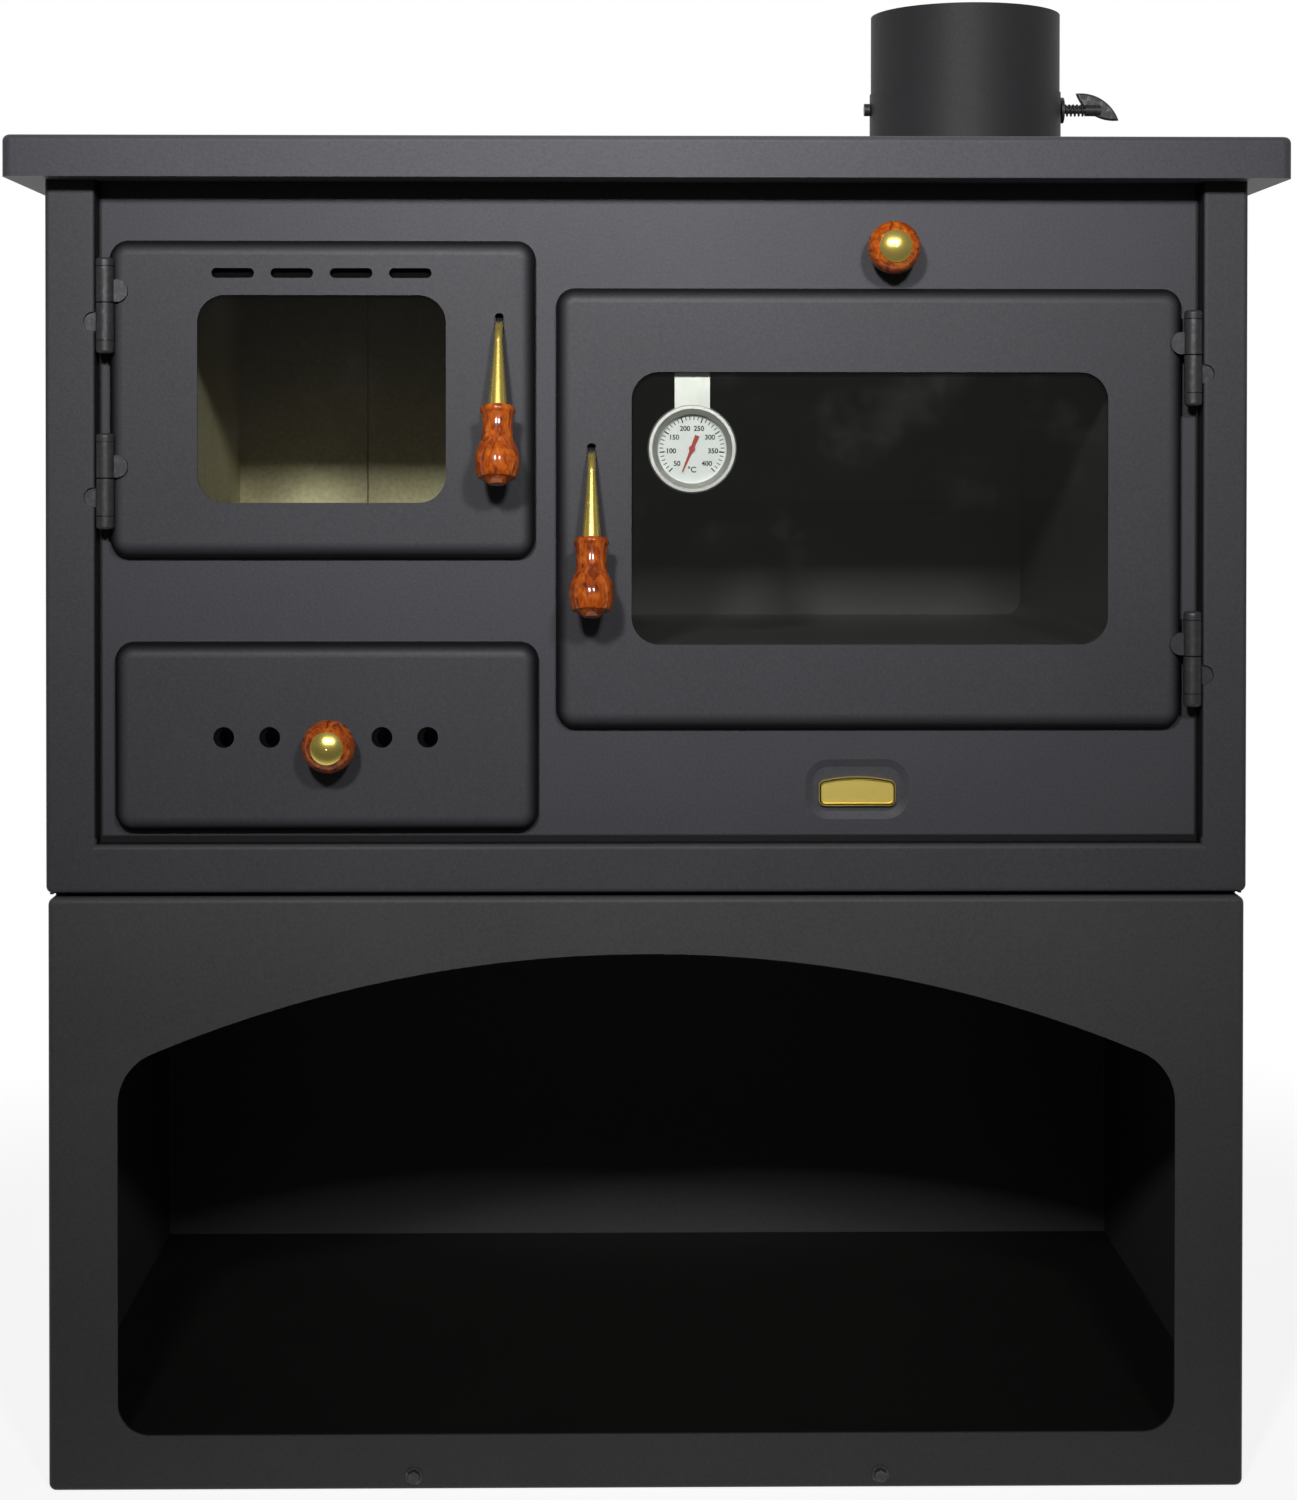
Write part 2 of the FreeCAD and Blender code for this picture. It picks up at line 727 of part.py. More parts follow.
def damper_pieces():
    """Disc on a shaft through the collar, with a nut, a washer, a spring and a key."""
    wall = (flue_x - collar_r, flue_x + collar_r)
    washer_x = (wall[1] + damper_off_wall, wall[1] + damper_off_wall + damper_washer)
    spring_x = (washer_x[1] + spring_ease, washer_x[1] + spring_length - spring_ease)
    hub_x = (washer_x[1] + spring_length, washer_x[1] + spring_length + key_hub)
    nut_x = (wall[0] - damper_off_wall - damper_nut, wall[0] - damper_off_wall)
    shaft = rod_x((nut_x[0], hub_x[1] - key_wall), flue_y, damper_z, damper_shaft_r)
    shaft = shaft.fuse([rod_x(nut_x, flue_y, damper_z, damper_nut_r),
                        rod_x(washer_x, flue_y, damper_z, damper_washer_r)])
    disc_y = (flue_y - damper_disc / 2, flue_y + damper_disc / 2)
    disc = rod_y(flue_x, disc_y, damper_z, flue_bore - damper_gap)
    tube_x = grow((flue_x, flue_x), flue_bore - damper_gap - overrun)
    tube = rod_x(tube_x, flue_y, damper_z, damper_shaft_r + damper_disc)
    disc = disc.fuse(tube).cut(rod_x(wall, flue_y, damper_z, damper_shaft_r + run_fit))
    return {"damper_disc": disc, "damper_shaft": shaft.removeSplitter(),
            "damper_spring": damper_spring(spring_x), "damper_key": damper_key(hub_x)}


def hinge_tops(drops, z):
    return [z[1] - drop for drop in drops]


def hinge_pins():
    """Pins with a cap at both ends, one in each hinge."""
    shank = (hinge_low_cap - hinge_play, hinge_length - hinge_top_cap + hinge_play)
    cap, ease, mid = knuckle_r, hinge_cap_round, hinge_cap_round * (1 - math.sqrt(0.5))
    profile = [(0, 0), (cap - ease, 0), ((cap - mid, mid), (cap, ease)), (cap, shank[0]),
               (hinge_pin_r, shank[0]), (hinge_pin_r, shank[1]), (cap, shank[1]), (cap, hinge_length - ease),
               ((cap - mid, hinge_length - mid), (cap - ease, hinge_length)), (0, hinge_length)]
    pins = []
    doors = ((left_hinge_x, firebox_hinge_drops, firebox_z), (right_hinge_x, oven_hinge_drops, oven_z))
    for x, drops, z in doors:
        for top in hinge_tops(drops, z):
            pins.append(place(turned(profile), V(x, hinge_y, top - hinge_length), V(0, 0, 1)))
    return Part.makeCompound(pins)


def half_lug(x, sign, z, reach, r, y):
    """Lug that runs sideways from a hinge's axis to a round end."""
    lug = slab(grow((x, x), reach), z, r, y)
    return lug.common(box(sorted((x, x + sign * (reach + overrun))), grow(y, overrun), grow(z, overrun)))


def leaf_hinges():
    """Axis, side and lower knuckle's span of each hinge."""
    doors = ((left_hinge_x, -1, firebox_hinge_drops, firebox_z), (right_hinge_x, 1, oven_hinge_drops, oven_z))
    return [(x, sign, (top - hinge_length + hinge_low_cap, top - hinge_split - hinge_play))
            for x, sign, drops, z in doors for top in hinge_tops(drops, z)]


def leaf_slab(hinge, by, y):
    """Leaf of a lower knuckle, with its outline moved outwards, over a depth span."""
    x, sign, span = hinge
    z = grow((middle(span), middle(span)), hinge_lug_r + by)
    return half_lug(x, sign, z, hinge_leaf_reach + by, (hinge_lug_r + by) * hinge_round_share, y)


def hinge_leaves():
    """Lower knuckles, each with a leaf let into the post behind a notch."""
    leaves = []
    for hinge in leaf_hinges():
        x, sign, span = hinge
        knuckle = rod_z(x, hinge_y, span, knuckle_r).fuse(leaf_slab(hinge, 0, leaf_y)).removeSplitter()
        leaves.append(knuckle.cut(rod_z(x, hinge_y, grow(span, overrun), hinge_pin_r + run_fit)))
    return Part.makeCompound(leaves)


def door_knuckles(hinge_x, sign, drops, x, z):
    """Upper knuckles with a rounded lug seated on the door's soft edge."""
    block = soften(slab(x, z, front_corner, (front_y, door_back)), "Y", front_y, front_edge)
    knuckles = []
    for top in hinge_tops(drops, z):
        span = (top - hinge_split + hinge_play, top - hinge_top_cap)
        lug_z = (span[0], span[0] + 2 * hinge_lug_r)
        lug_y = (front_y - hinge_lug_proud, hinge_y + knuckle_r)
        lug = half_lug(hinge_x, sign, lug_z, hinge_lug_reach, hinge_lug_r * hinge_round_share, lug_y)
        lug = lug.cut(block)
        knuckle = rod_z(hinge_x, hinge_y, span, knuckle_r).fuse(lug).removeSplitter()
        knuckles.append(knuckle.cut(rod_z(hinge_x, hinge_y, grow(span, overrun), hinge_pin_r + run_fit)))
    return Part.makeCompound(knuckles)


def latch_pieces(name, latch):
    """Lift handle: bracket and pin in the door, lever with its hook, brass horn and turned wooden grip."""
    x, z = latch
    back = front_y + door_sheet
    foot = box(grow((x, x), bracket_width / 2), (back, back + bracket_sheet), grow((z, z), bracket_height / 2))
    ears_y = (back, back + bracket_depth)
    ears = box(grow((x, x), cheek + bracket_sheet), ears_y, grow((z, z), bracket_cheek_half))
    pin_x = grow((x, x), cheek + bracket_sheet + fit)
    bore = rod_x(grow(pin_x, overrun), latch_y, z, latch_pin_r + run_fit)
    slot = box(grow((x, x), cheek), grow(ears_y, overrun), grow((z, z), bracket_slot_half))
    bracket = foot.fuse(ears).removeSplitter().cut(slot).cut(bore)
    bracket = Part.makeCompound([bracket, rod_x(pin_x, latch_y, z, latch_pin_r)])

    nose = front_y - horn_start
    tail = panel_back + lever_reach
    arm, top = lever_arm / 2, lever_arm / 2 + lever_hook_rise
    outline = [(nose, arm), (tail - lever_hook - lever_hook_rise, arm), (tail - lever_hook, top), (tail, top),
               (tail, -arm), (nose, -arm)]
    corners = [V(x - lever_thickness / 2, y, z + rise) for y, rise in outline]
    lever = Part.Face(Part.makePolygon(corners + corners[:1])).extrude(V(lever_thickness, 0, 0))
    lever = soften(lever, "Y", tail, lever_round)
    lever = lever.fuse(rod_x(grow((x, x), lever_thickness / 2), latch_y, z, lever_boss_r)).removeSplitter()
    lever = lever.cut(bore)

    bend = math.radians(90 - horn_tilt)
    circle = Part.Circle(V(x, nose, z), V(0, 1, 0), horn_tip_r).toShape()
    elbow = Part.Face(Part.Wire(circle)).revolve(V(x, nose, z - horn_bend_r), V(1, 0, 0), 90 - horn_tilt)
    start = V(x, nose - horn_bend_r * math.sin(bend), z - horn_bend_r * (1 - math.cos(bend)))
    way = V(0, -math.cos(bend), -math.sin(bend))
    cone = Part.makeCone(horn_tip_r, horn_end_r, horn_length, start, way)
    end = start + way * horn_length
    horn = elbow.fuse([cone, Part.makeCylinder(tang_r, tang_length, end, way)]).removeSplitter()

    grip = place(turned_grip(), end, way)
    return {name + "_latch_bracket": bracket, name + "_latch_lever": lever, name + "_ferrule": horn,
            name + "_grip": grip}


def turned_grip():
    """Turned grip: a collar, a waist and a bulge, with a blind hole for the tang."""
    bore = tang_r + tang_fit
    length = grip_length
    collar = (grip_collar_r + grip_neck_r) / 2
    heel = grip_bulge_r * grip_heel_share
    heel_mid = (heel * grip_bulge_shares[0], length * (1 + grip_bulge_shares[1] * 2) / 3 + tang_fit)
    return turned([(bore, 0), (collar, 0),
                   ((grip_collar_r, length * grip_collar_shares[0]), (collar, length * grip_collar_shares[1])),
                   ((grip_neck_r, length * grip_neck_shares[0]), (collar, length * grip_neck_shares[1])),
                   ((grip_bulge_r, length * grip_bulge_shares[0]), (heel, length * grip_bulge_shares[1])),
                   (heel_mid, (grip_foot_r, length)),
                   (0, length), (0, tang_length + fit), (bore, tang_length + fit)])


def knob_pieces(name, x, surface_y, z):
    """Turned wooden knob on a stem, with a domed brass cap; its back stands off a surface."""
    bore = knob_stem_r + knob_stem_fit
    swell = (knob_r * knob_swell_shares[0], knob_depth * knob_swell_shares[1])
    brow = (knob_r * knob_brow_shares[0], knob_depth * knob_brow_shares[1])
    wood = turned([(bore, 0), (knob_back_r, 0), (swell, (knob_r, knob_depth * knob_widest_share)),
                   (brow, (knob_front_r, knob_depth)), (bore, knob_depth)])
    cap = turned([(0, 0), (cap_r, 0), (cap_r, cap_rim), dome(cap_r, cap_rim, cap_rise)])
    back = surface_y - knob_standoff
    return {name + "_knob": place(wood, V(x, back, z), V(0, -1, 0)),
            name + "_knob_cap": place(cap, V(x, back - knob_depth, z), V(0, -1, 0))}


def knob_stem(x, surface_y, z, inner_y):
    """Stem from inside the stove to just behind a knob's cap."""
    return rod_y(x, (surface_y - knob_standoff - knob_depth + knob_stem_stop, inner_y), z, knob_stem_r)


def glazed_door(name, x, z, window, mouth, latch):
    """Door of pressed sheet with its glass, the frame that clamps the glass, and the rope seal."""
    skin = tray(x, z, front_corner, front_edge, door_sheet, front_y, door_back)
    skin_y = (front_y - overrun, glass_front)
    skin = skin.cut(slab(window[0], window[1], window_corner, skin_y))
    slot_z = (latch[1] - latch_slot_down, latch[1] + latch_slot_up)
    slot_x = grow((latch[0], latch[0]), latch_slot_width / 2)
    skin = skin.cut(slab(slot_x, slot_z, latch_slot_width * air_slot_round_share, skin_y))

    glass_x, glass_z = grow(window[0], glass_lap), grow(window[1], glass_lap)
    glass = slab(glass_x, glass_z, window_corner, (glass_front, glass_back))
    inset = tray_inset(plate_front)
    plate_y = (plate_front, plate_back)
    frame = slab(grow(x, -inset), grow(z, -inset), front_corner - inset, plate_y)
    clear_y = grow(plate_y, overrun)
    clear_x, clear_z = grow(window[0], clamp_step), grow(window[1], clamp_step)
    frame = frame.cut(slab(clear_x, clear_z, window_corner + clamp_step, clear_y))
    bracket_x = grow((latch[0], latch[0]), cheek + bracket_sheet + 2 * fit)
    frame = frame.cut(box(bracket_x, clear_y, grow((latch[1], latch[1]), bracket_slot_half)))

    def ring(by):
        return slab(grow(mouth[0], by), grow(mouth[1], by), oven_corner + by, (plate_back, panel_y - soft_gap))

    rope = soften(ring(rope_gap + rope_width).cut(ring(rope_gap)), "Y", panel_y - soft_gap, rope_round)
    return {name + "_door_skin": skin, name + "_glass": glass, name + "_glass_frame": frame,
            name + "_rope": rope}


def firebox_door():
    pieces = glazed_door("firebox", firebox_x, firebox_z, firebox_window, firebox_mouth, firebox_latch)
    first = middle(firebox_x) - air_slot_pitch * (air_slot_count - 1) / 2
    z = firebox_window[1][1] + air_slot_rise
    for index in range(air_slot_count):
        x = first + index * air_slot_pitch
        slot = slab(grow((x, x), air_slot_width / 2), grow((z, z), air_slot_height / 2),
                    air_slot_height * air_slot_round_share, (front_y - overrun, glass_front))
        pieces["firebox_door_skin"] = pieces["firebox_door_skin"].cut(slot)
    knuckles = door_knuckles(left_hinge_x, 1, firebox_hinge_drops, firebox_x, firebox_z)
    return pieces | {"firebox_knuckles": knuckles} | latch_pieces("firebox", firebox_latch)


def oven_door():
    pieces = glazed_door("oven", oven_x, oven_z, oven_window, oven_mouth, oven_latch)
    knuckles = door_knuckles(right_hinge_x, -1, oven_hinge_drops, oven_x, oven_z)
    return pieces | {"oven_knuckles": knuckles} | latch_pieces("oven", oven_latch)


def dial_pieces():
    """Dial thermometer hung on a strap in the oven window."""
    rim, waist = dial_case_r, dial_case_r - dial_waist
    seat = dial_r + run_fit
    case = turned([(seat, dial_cone), (seat + dial_flare, 0), (rim - dial_lip, 0), (rim, dial_lip),
                   (rim, dial_bezel), (waist, dial_bezel + dial_waist), (waist, dial_case_depth),
                   (0, dial_case_depth),
                   (0, dial_case_depth - dial_case_back), (seat, dial_case_depth - dial_case_back)])
    case = place(case, V(dial_x, dial_y, dial_z), V(0, 1, 0))
    strap_z = (dial_z + dial_case_r - strap_bite, oven_window[1][1] + clamp_step + strap_lap)
    strap = box(grow((dial_x, dial_x), strap_width / 2), (plate_back, plate_back + strap_sheet), strap_z)
    face_y = dial_y + dial_depth
    dial = rod_y(dial_x, (face_y, dial_y + dial_case_depth - dial_case_back), dial_z, dial_r)
    lens = rod_y(dial_x, (dial_y + lens_depth, dial_y + lens_depth + lens_thickness), dial_z, dial_r)
    needle_y = face_y - fit - needle_sheet
    outline = [V(needle_tip_half, 0, needle_length), V(needle_tail_half, 0, -needle_tail),
               V(-needle_tail_half, 0, -needle_tail), V(-needle_tip_half, 0, needle_length)]
    blade = Part.Face(Part.makePolygon(outline + outline[:1])).extrude(V(0, needle_sheet, 0))
    hub = Part.makeCylinder(needle_hub_r, needle_hub, V(0, needle_sheet - needle_hub, 0), V(0, 1, 0))
    needle = blade.fuse(hub).removeSplitter()
    needle.Placement = FreeCAD.Placement(V(dial_x, needle_y, dial_z), FreeCAD.Rotation(V(0, 1, 0), needle_rest))
    return {"thermometer_case": case.fuse(strap).removeSplitter(), "thermometer_dial": dial,
            "thermometer_lens": lens, "thermometer_needle": needle}


def air_holes(centre, y):
    """The four air holes of the drawer front or of the slide behind it."""
    places = [sign * (air_hole_first + air_hole_pitch * index) for sign in (-1, 1) for index in (0, 1)]
    return [rod_y(centre + offset, y, air_z, air_hole_r) for offset in places]


def drawer_front():
    """Pressed drawer front with air holes, a slot for the knob's stem and guides for the air slide."""
    front = tray(drawer_x, drawer_z, front_corner, front_edge, door_sheet, front_y, door_back)
    face = (front_y - overrun, front_y + door_sheet + fit)
    stem = knob_stem_r + fit
    slot_x = (middle(drawer_x) - stem, middle(drawer_x) + air_slide_shut + stem)
    slot = slab(slot_x, grow((air_knob_z, air_knob_z), stem), stem * hinge_round_share, face)
    front = front.cut(air_holes(middle(drawer_x), face) + [slot])
    back = front_y + door_sheet
    guide_x = grow((slide_x, slide_x), air_slide_half + air_guide_overrun)
    lip_y = (slide_y[1] + air_slide_fit, slide_y[1] + air_slide_fit + air_guide_sheet)
    guides = []
    for sign in (-1, 1):
        edge = air_z + sign * (air_slide_height / 2 + air_slide_fit)
        rail = box(guide_x, (back, lip_y[1]), sorted((edge, edge + sign * air_guide_sheet)))
        lip = box(guide_x, lip_y, sorted((edge - sign * air_guide_lap, edge + sign * air_guide_sheet)))
        guides.append(rail.fuse(lip))
    return front.fuse(guides).removeSplitter()


def ash_pan():
    """Open pan welded to a plate that closes the back of the drawer front."""
    inset = tray_inset(door_back - pan_sheet)
    plate = slab(grow(drawer_x, -inset), grow(drawer_z, -inset), front_corner - inset,
                 (door_back - pan_sheet, door_back))
    pan_y = (door_back, door_back + drawer_depth)
    pan = box(pan_x, pan_y, pan_z)
    hollow_z = (pan_z[0] + pan_sheet, pan_z[1] + overrun)
    pan = plate.fuse(pan).cut(box(grow(pan_x, -pan_sheet), grow(pan_y, -pan_sheet), hollow_z))
    way_x = grow((middle(drawer_x), middle(drawer_x)), air_slide_half)
    way_z = grow((air_z, air_z), pan_air_height / 2)
    air_way = slab(way_x, way_z, pan_air_height * grate_round_share, (door_back - overrun, door_back + overrun))
    return pan.cut(air_way).removeSplitter()


def drawer_pieces():
    """Ash drawer with its air slide and knob, and the runners that carry it."""
    slide = box(grow((slide_x, slide_x), air_slide_half), slide_y, grow((air_z, air_z), air_slide_height / 2))
    slide = slide.cut(air_holes(slide_x, grow(slide_y, overrun)))
    slide = slide.fuse(knob_stem(slide_x, front_y, air_knob_z, slide_y[1])).removeSplitter()
    runners = []
    run_y = (panel_back, brick_y[1])
    ledge_z = (pan_z[0] - fit - runner_sheet, pan_z[0] - fit)
    for wall, sign in ((jacket_x[0], 1), (jacket_x[1], -1)):
        leg = box(sorted((wall, wall + sign * runner_sheet)), run_y, (ledge_z[0], ledge_z[0] + runner_height))
        ledge = box(sorted((wall, wall + sign * runner_ledge)), run_y, ledge_z)
        runners.append(leg.fuse(ledge).removeSplitter())
    pieces = {"ash_drawer_front": drawer_front(), "ash_pan": ash_pan(), "air_slide": slide,
              "drawer_runners": Part.makeCompound(runners)}
    return pieces | knob_pieces("air", slide_x, front_y, air_knob_z)


def firebox_pieces():
    """Steel jacket, firebrick lining, the plate under the fire and the grate on it."""
    back = brick_y[1] + brick_thickness
    jacket_z = (base_height + body_sheet, hob_under - fit)
    jacket = box(grow(jacket_x, jacket_sheet), (panel_back, back + jacket_sheet), jacket_z)
    jacket = jacket.cut(box(jacket_x, (panel_back - overrun, back), grow(jacket_z, overrun)))
    brick_z = (grate_plate_top, body_top - brick_headroom)
    half_joint = brick_joint / 2
    split = middle(chest_x)
    rear_y = (brick_y[1], back)
    rear = [box((jacket_x[0], split - half_joint), rear_y, brick_z),
            box((split + half_joint, jacket_x[1]), rear_y, brick_z)]
    plate_y = (panel_back, back)
    plate_z = (grate_plate_top - grate_plate, grate_plate_top)
    plate = box(jacket_x, plate_y, plate_z)
    grate_x, grate_y = grow(chest_x, -grate_margin), grow(brick_y, -grate_margin)
    plate = plate.cut(box(grow(grate_x, -grate_lap), grow(grate_y, -grate_lap), grow(plate_z, overrun)))
    return {"firebox_jacket": jacket, "firebrick_back": Part.makeCompound(rear),
            "firebrick_left": box((jacket_x[0], chest_x[0]), brick_y, brick_z),
            "firebrick_right": box((chest_x[1], jacket_x[1]), brick_y, brick_z),
            "grate_plate": plate, "fire_grate": fire_grate(grate_x, grate_y)}


def fire_grate(x, y):
    """Cast grate: a plate with a row of long slots between the bars."""
    grate = box(x, y, (grate_plate_top, grate_top))
    pitch = grate_slot + grate_bar
    first = middle(x) - pitch * (grate_slot_count - 1) / 2
    slot_y = grow(y, -grate_lap - grate_bar)
    z = (grate_plate_top - overrun, grate_top + overrun)
    for index in range(grate_slot_count):
        centre = first + index * pitch
        grate = grate.cut(box(grow((centre, centre), grate_slot / 2), slot_y, z))
    return grate


def oven_pieces():
    """Oven liner, the flue chamber over it and the direct-draught pull with its knob."""
    liner_y = (panel_back, panel_back + oven_depth)
    liner_x, liner_z = grow(oven_mouth[0], oven_sheet), grow(oven_mouth[1], oven_sheet)
    liner = slab(liner_x, liner_z, oven_corner + oven_sheet, liner_y)
    inside_y = (liner_y[0] - overrun, liner_y[1] - oven_sheet)
    liner = liner.cut(slab(oven_mouth[0], oven_mouth[1], oven_corner, inside_y))
    z = (oven_mouth[1][1] + oven_sheet, hob_under - fit)
    x = (bypass_x - chamber_reach, flue_x + flue_r + chamber_margin)
    y = (chamber_y, liner_y[1])
    room_y = (y[0] + chamber_sheet, y[1] + overrun)
    chamber = box(x, y, z).cut(box(grow(x, -chamber_sheet), room_y, grow(z, overrun)))
    hole = slab(grow((bypass_x, bypass_x), bypass_hole_half), grow((bypass_z, bypass_z), bypass_hole_half),
                bypass_corner, grow((chamber_y, chamber_y), overrun))
    plate_y = (chamber_y - fit - bypass_plate, chamber_y - fit)
    plate = slab(grow((bypass_x, bypass_x), bypass_plate_half), grow((bypass_z, bypass_z), bypass_plate_half),
                 bypass_corner, plate_y)
    rod = knob_stem(bypass_x, panel_y, bypass_z, plate_y[0])
    pieces = {"oven_liner": liner, "flue_chamber": chamber.cut(hole),
              "bypass_rod": rod.fuse(plate).removeSplitter()}
    return pieces | knob_pieces("bypass", bypass_x, panel_y, bypass_z)


def badge_plate():
    """Bare brass plate with a bowed top and a raised rim, on the panel under the oven door."""
    half, low = badge_width / 2, badge_z - badge_height / 2
    shoulder = low + badge_height - badge_bow
    y = panel_y + dish_depth - badge_thickness
    ends = [V(badge_x + side * half, y, shoulder) for side in (1, -1)]
    bow = Part.Arc(ends[0], V(badge_x, y, low + badge_height), ends[1]).toShape()
    sill = Part.makeLine(V(badge_x - half, y, low), V(badge_x + half, y, low))
    face = Part.Face(closed_wire([bow, sill]))
    plate = face.extrude(V(0, badge_thickness, 0))
    corners = [e for e in plate.Edges if abs(e.BoundBox.YLength - badge_thickness) < touch]
    plate = plate.makeFillet(badge_corner, corners)
    front = [f for f in plate.Faces if abs(f.BoundBox.YMax - y) < touch][0]
    return plate.cut(front.makeOffset2D(-badge_rim).extrude(V(0, badge_recess, 0)))


def all_pieces():
    return (base_pieces() | body_pieces() | hob_pieces() | damper_pieces() | firebox_pieces() | oven_pieces()
            | drawer_pieces() | firebox_door() | oven_door() | dial_pieces()
            | {"front_frame": front_frame(), "front_panel": front_panel(), "flue_collar": flue_collar(),
               "hinge_pins": hinge_pins(), "hinge_leaves": hinge_leaves(), "badge_plate": badge_plate()})


os.makedirs("parts", exist_ok=True)
for node, shape in all_pieces().items():
    shape.exportStep("parts/" + node + ".step")
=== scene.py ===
"""Finishes, dial print, rope seals, screws, thin trim, studio and camera for the wood-burning cookstove."""
import math

import bmesh
import bpy
from bpy.props import FloatProperty, FloatVectorProperty, IntProperty, PointerProperty
from mathutils import Matrix, Vector


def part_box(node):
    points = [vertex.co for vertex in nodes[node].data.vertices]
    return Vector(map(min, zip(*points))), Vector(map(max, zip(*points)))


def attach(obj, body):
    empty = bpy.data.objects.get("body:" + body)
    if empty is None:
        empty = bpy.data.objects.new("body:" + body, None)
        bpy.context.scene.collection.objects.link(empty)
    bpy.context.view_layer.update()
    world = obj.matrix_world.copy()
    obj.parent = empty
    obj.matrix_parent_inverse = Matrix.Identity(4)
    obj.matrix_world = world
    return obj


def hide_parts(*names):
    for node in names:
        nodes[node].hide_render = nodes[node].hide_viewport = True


bl_info = {
    "name": "Cookstove looks",
    "version": (1, 0, 0),
    "blender": (4, 5, 0),
    "location": "3D View > Sidebar > Cookstove",
    "description": "Dresses the cookstove: finishes, dial print, rope seals, screws, thin trim and studio",
    "category": "Object",
}

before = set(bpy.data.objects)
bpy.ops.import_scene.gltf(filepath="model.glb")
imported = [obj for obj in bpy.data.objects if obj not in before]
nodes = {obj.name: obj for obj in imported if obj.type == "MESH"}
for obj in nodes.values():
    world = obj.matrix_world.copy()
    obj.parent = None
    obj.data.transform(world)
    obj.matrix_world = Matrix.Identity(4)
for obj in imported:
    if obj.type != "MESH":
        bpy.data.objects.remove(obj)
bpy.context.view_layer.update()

BODY_SHEETS = ("body_side_left", "body_side_right", "body_back", "body_floor")
BASE_SHEETS = ("base_front", "base_wrap")
PRESSED_FRONTS = ("firebox_door_skin", "oven_door_skin", "ash_drawer_front")
HINGES = ("firebox_knuckles", "oven_knuckles", "hinge_leaves", "hinge_pins")
HOB_PLATES = ("hob_plate", "hob_lid")
FLUE_PIECES = ("flue_collar", "flue_chamber", "damper_disc")
DAMPER_HARDWARE = ("damper_shaft", "damper_spring", "damper_key")
OVEN_LINING = ("oven_liner",)
# Sheets painted near-black as painted shade, where only shade is seen behind the slots and holes
SHADE_BLACK_SHEETS = ("air_slide", "oven_glass_frame", "firebox_glass_frame")
LATCH_PIECES = ("firebox_latch_bracket", "oven_latch_bracket", "firebox_latch_lever", "oven_latch_lever")
BARE_SHEETS = ("firebox_jacket", "drawer_runners", "ash_pan", "bypass_rod")
CAST_IRON = ("grate_plate", "fire_grate")
FIREBRICKS = ("firebrick_back", "firebrick_left", "firebrick_right")
BRASS_PIECES = ("firebox_ferrule", "oven_ferrule", "air_knob_cap", "bypass_knob_cap")
GRIPS = ("firebox_grip", "oven_grip")
KNOBS = ("air_knob", "bypass_knob")

# Painted shade, partly grime, on a rolled rim: share of the roll's depth, share of the full darkening
ROLL_GRIME_AND_SHADE = ((0.0, 0.0), (0.1, 0.31), (0.23, 0.6), (0.45, 0.85), (1.0, 1.0))

# Tones that belong to a finish's recipe
WORN_STEEL = (0.17, 0.17, 0.175)
RUST_BLOOM = (0.09, 0.055, 0.035)
BRICK_PORE = (0.2, 0.15, 0.09)
BRASS_TARNISH = (0.66, 0.45, 0.12)
GLASS_MIRROR = (0.42, 0.42, 0.42)
GLASS_DUST = (0.7, 0.68, 0.64)
WHITE = (1.0, 1.0, 1.0)

# Soft steps behind which metal and glass show the bright floor (in Y) and the bright surround (in a ray's Y)
FLOOR_SHOWN = (-0.6, -0.3)
SURROUND_SHOWN = (-0.2, 0.2)


def colour_property(name, description, default):
    return FloatVectorProperty(name=name, description=description, default=default, size=3, min=0, max=1,
                               subtype="COLOR")


def length_property(name, description, default):
    return FloatProperty(name=name, description=description, default=default, min=0, unit="LENGTH", precision=4)


def angle_property(name, description, default):
    return FloatProperty(name=name, description=description, default=default, unit="ROTATION", subtype="ANGLE")


def share_property(name, description, default):
    return FloatProperty(name=name, description=description, default=default, min=0, max=1, precision=4,
                         subtype="FACTOR")


def number_property(name, description, default):
    return FloatProperty(name=name, description=description, default=default, precision=4)


def power_property(name, description, default):
    return FloatProperty(name=name, description=description, default=default, min=0, unit="POWER")


def place_property(name, description, default):
    return FloatVectorProperty(name=name, description=description, default=default, size=3, subtype="TRANSLATION")


def count_property(name, description, default):
    return IntProperty(name=name, description=description, default=default, min=1)


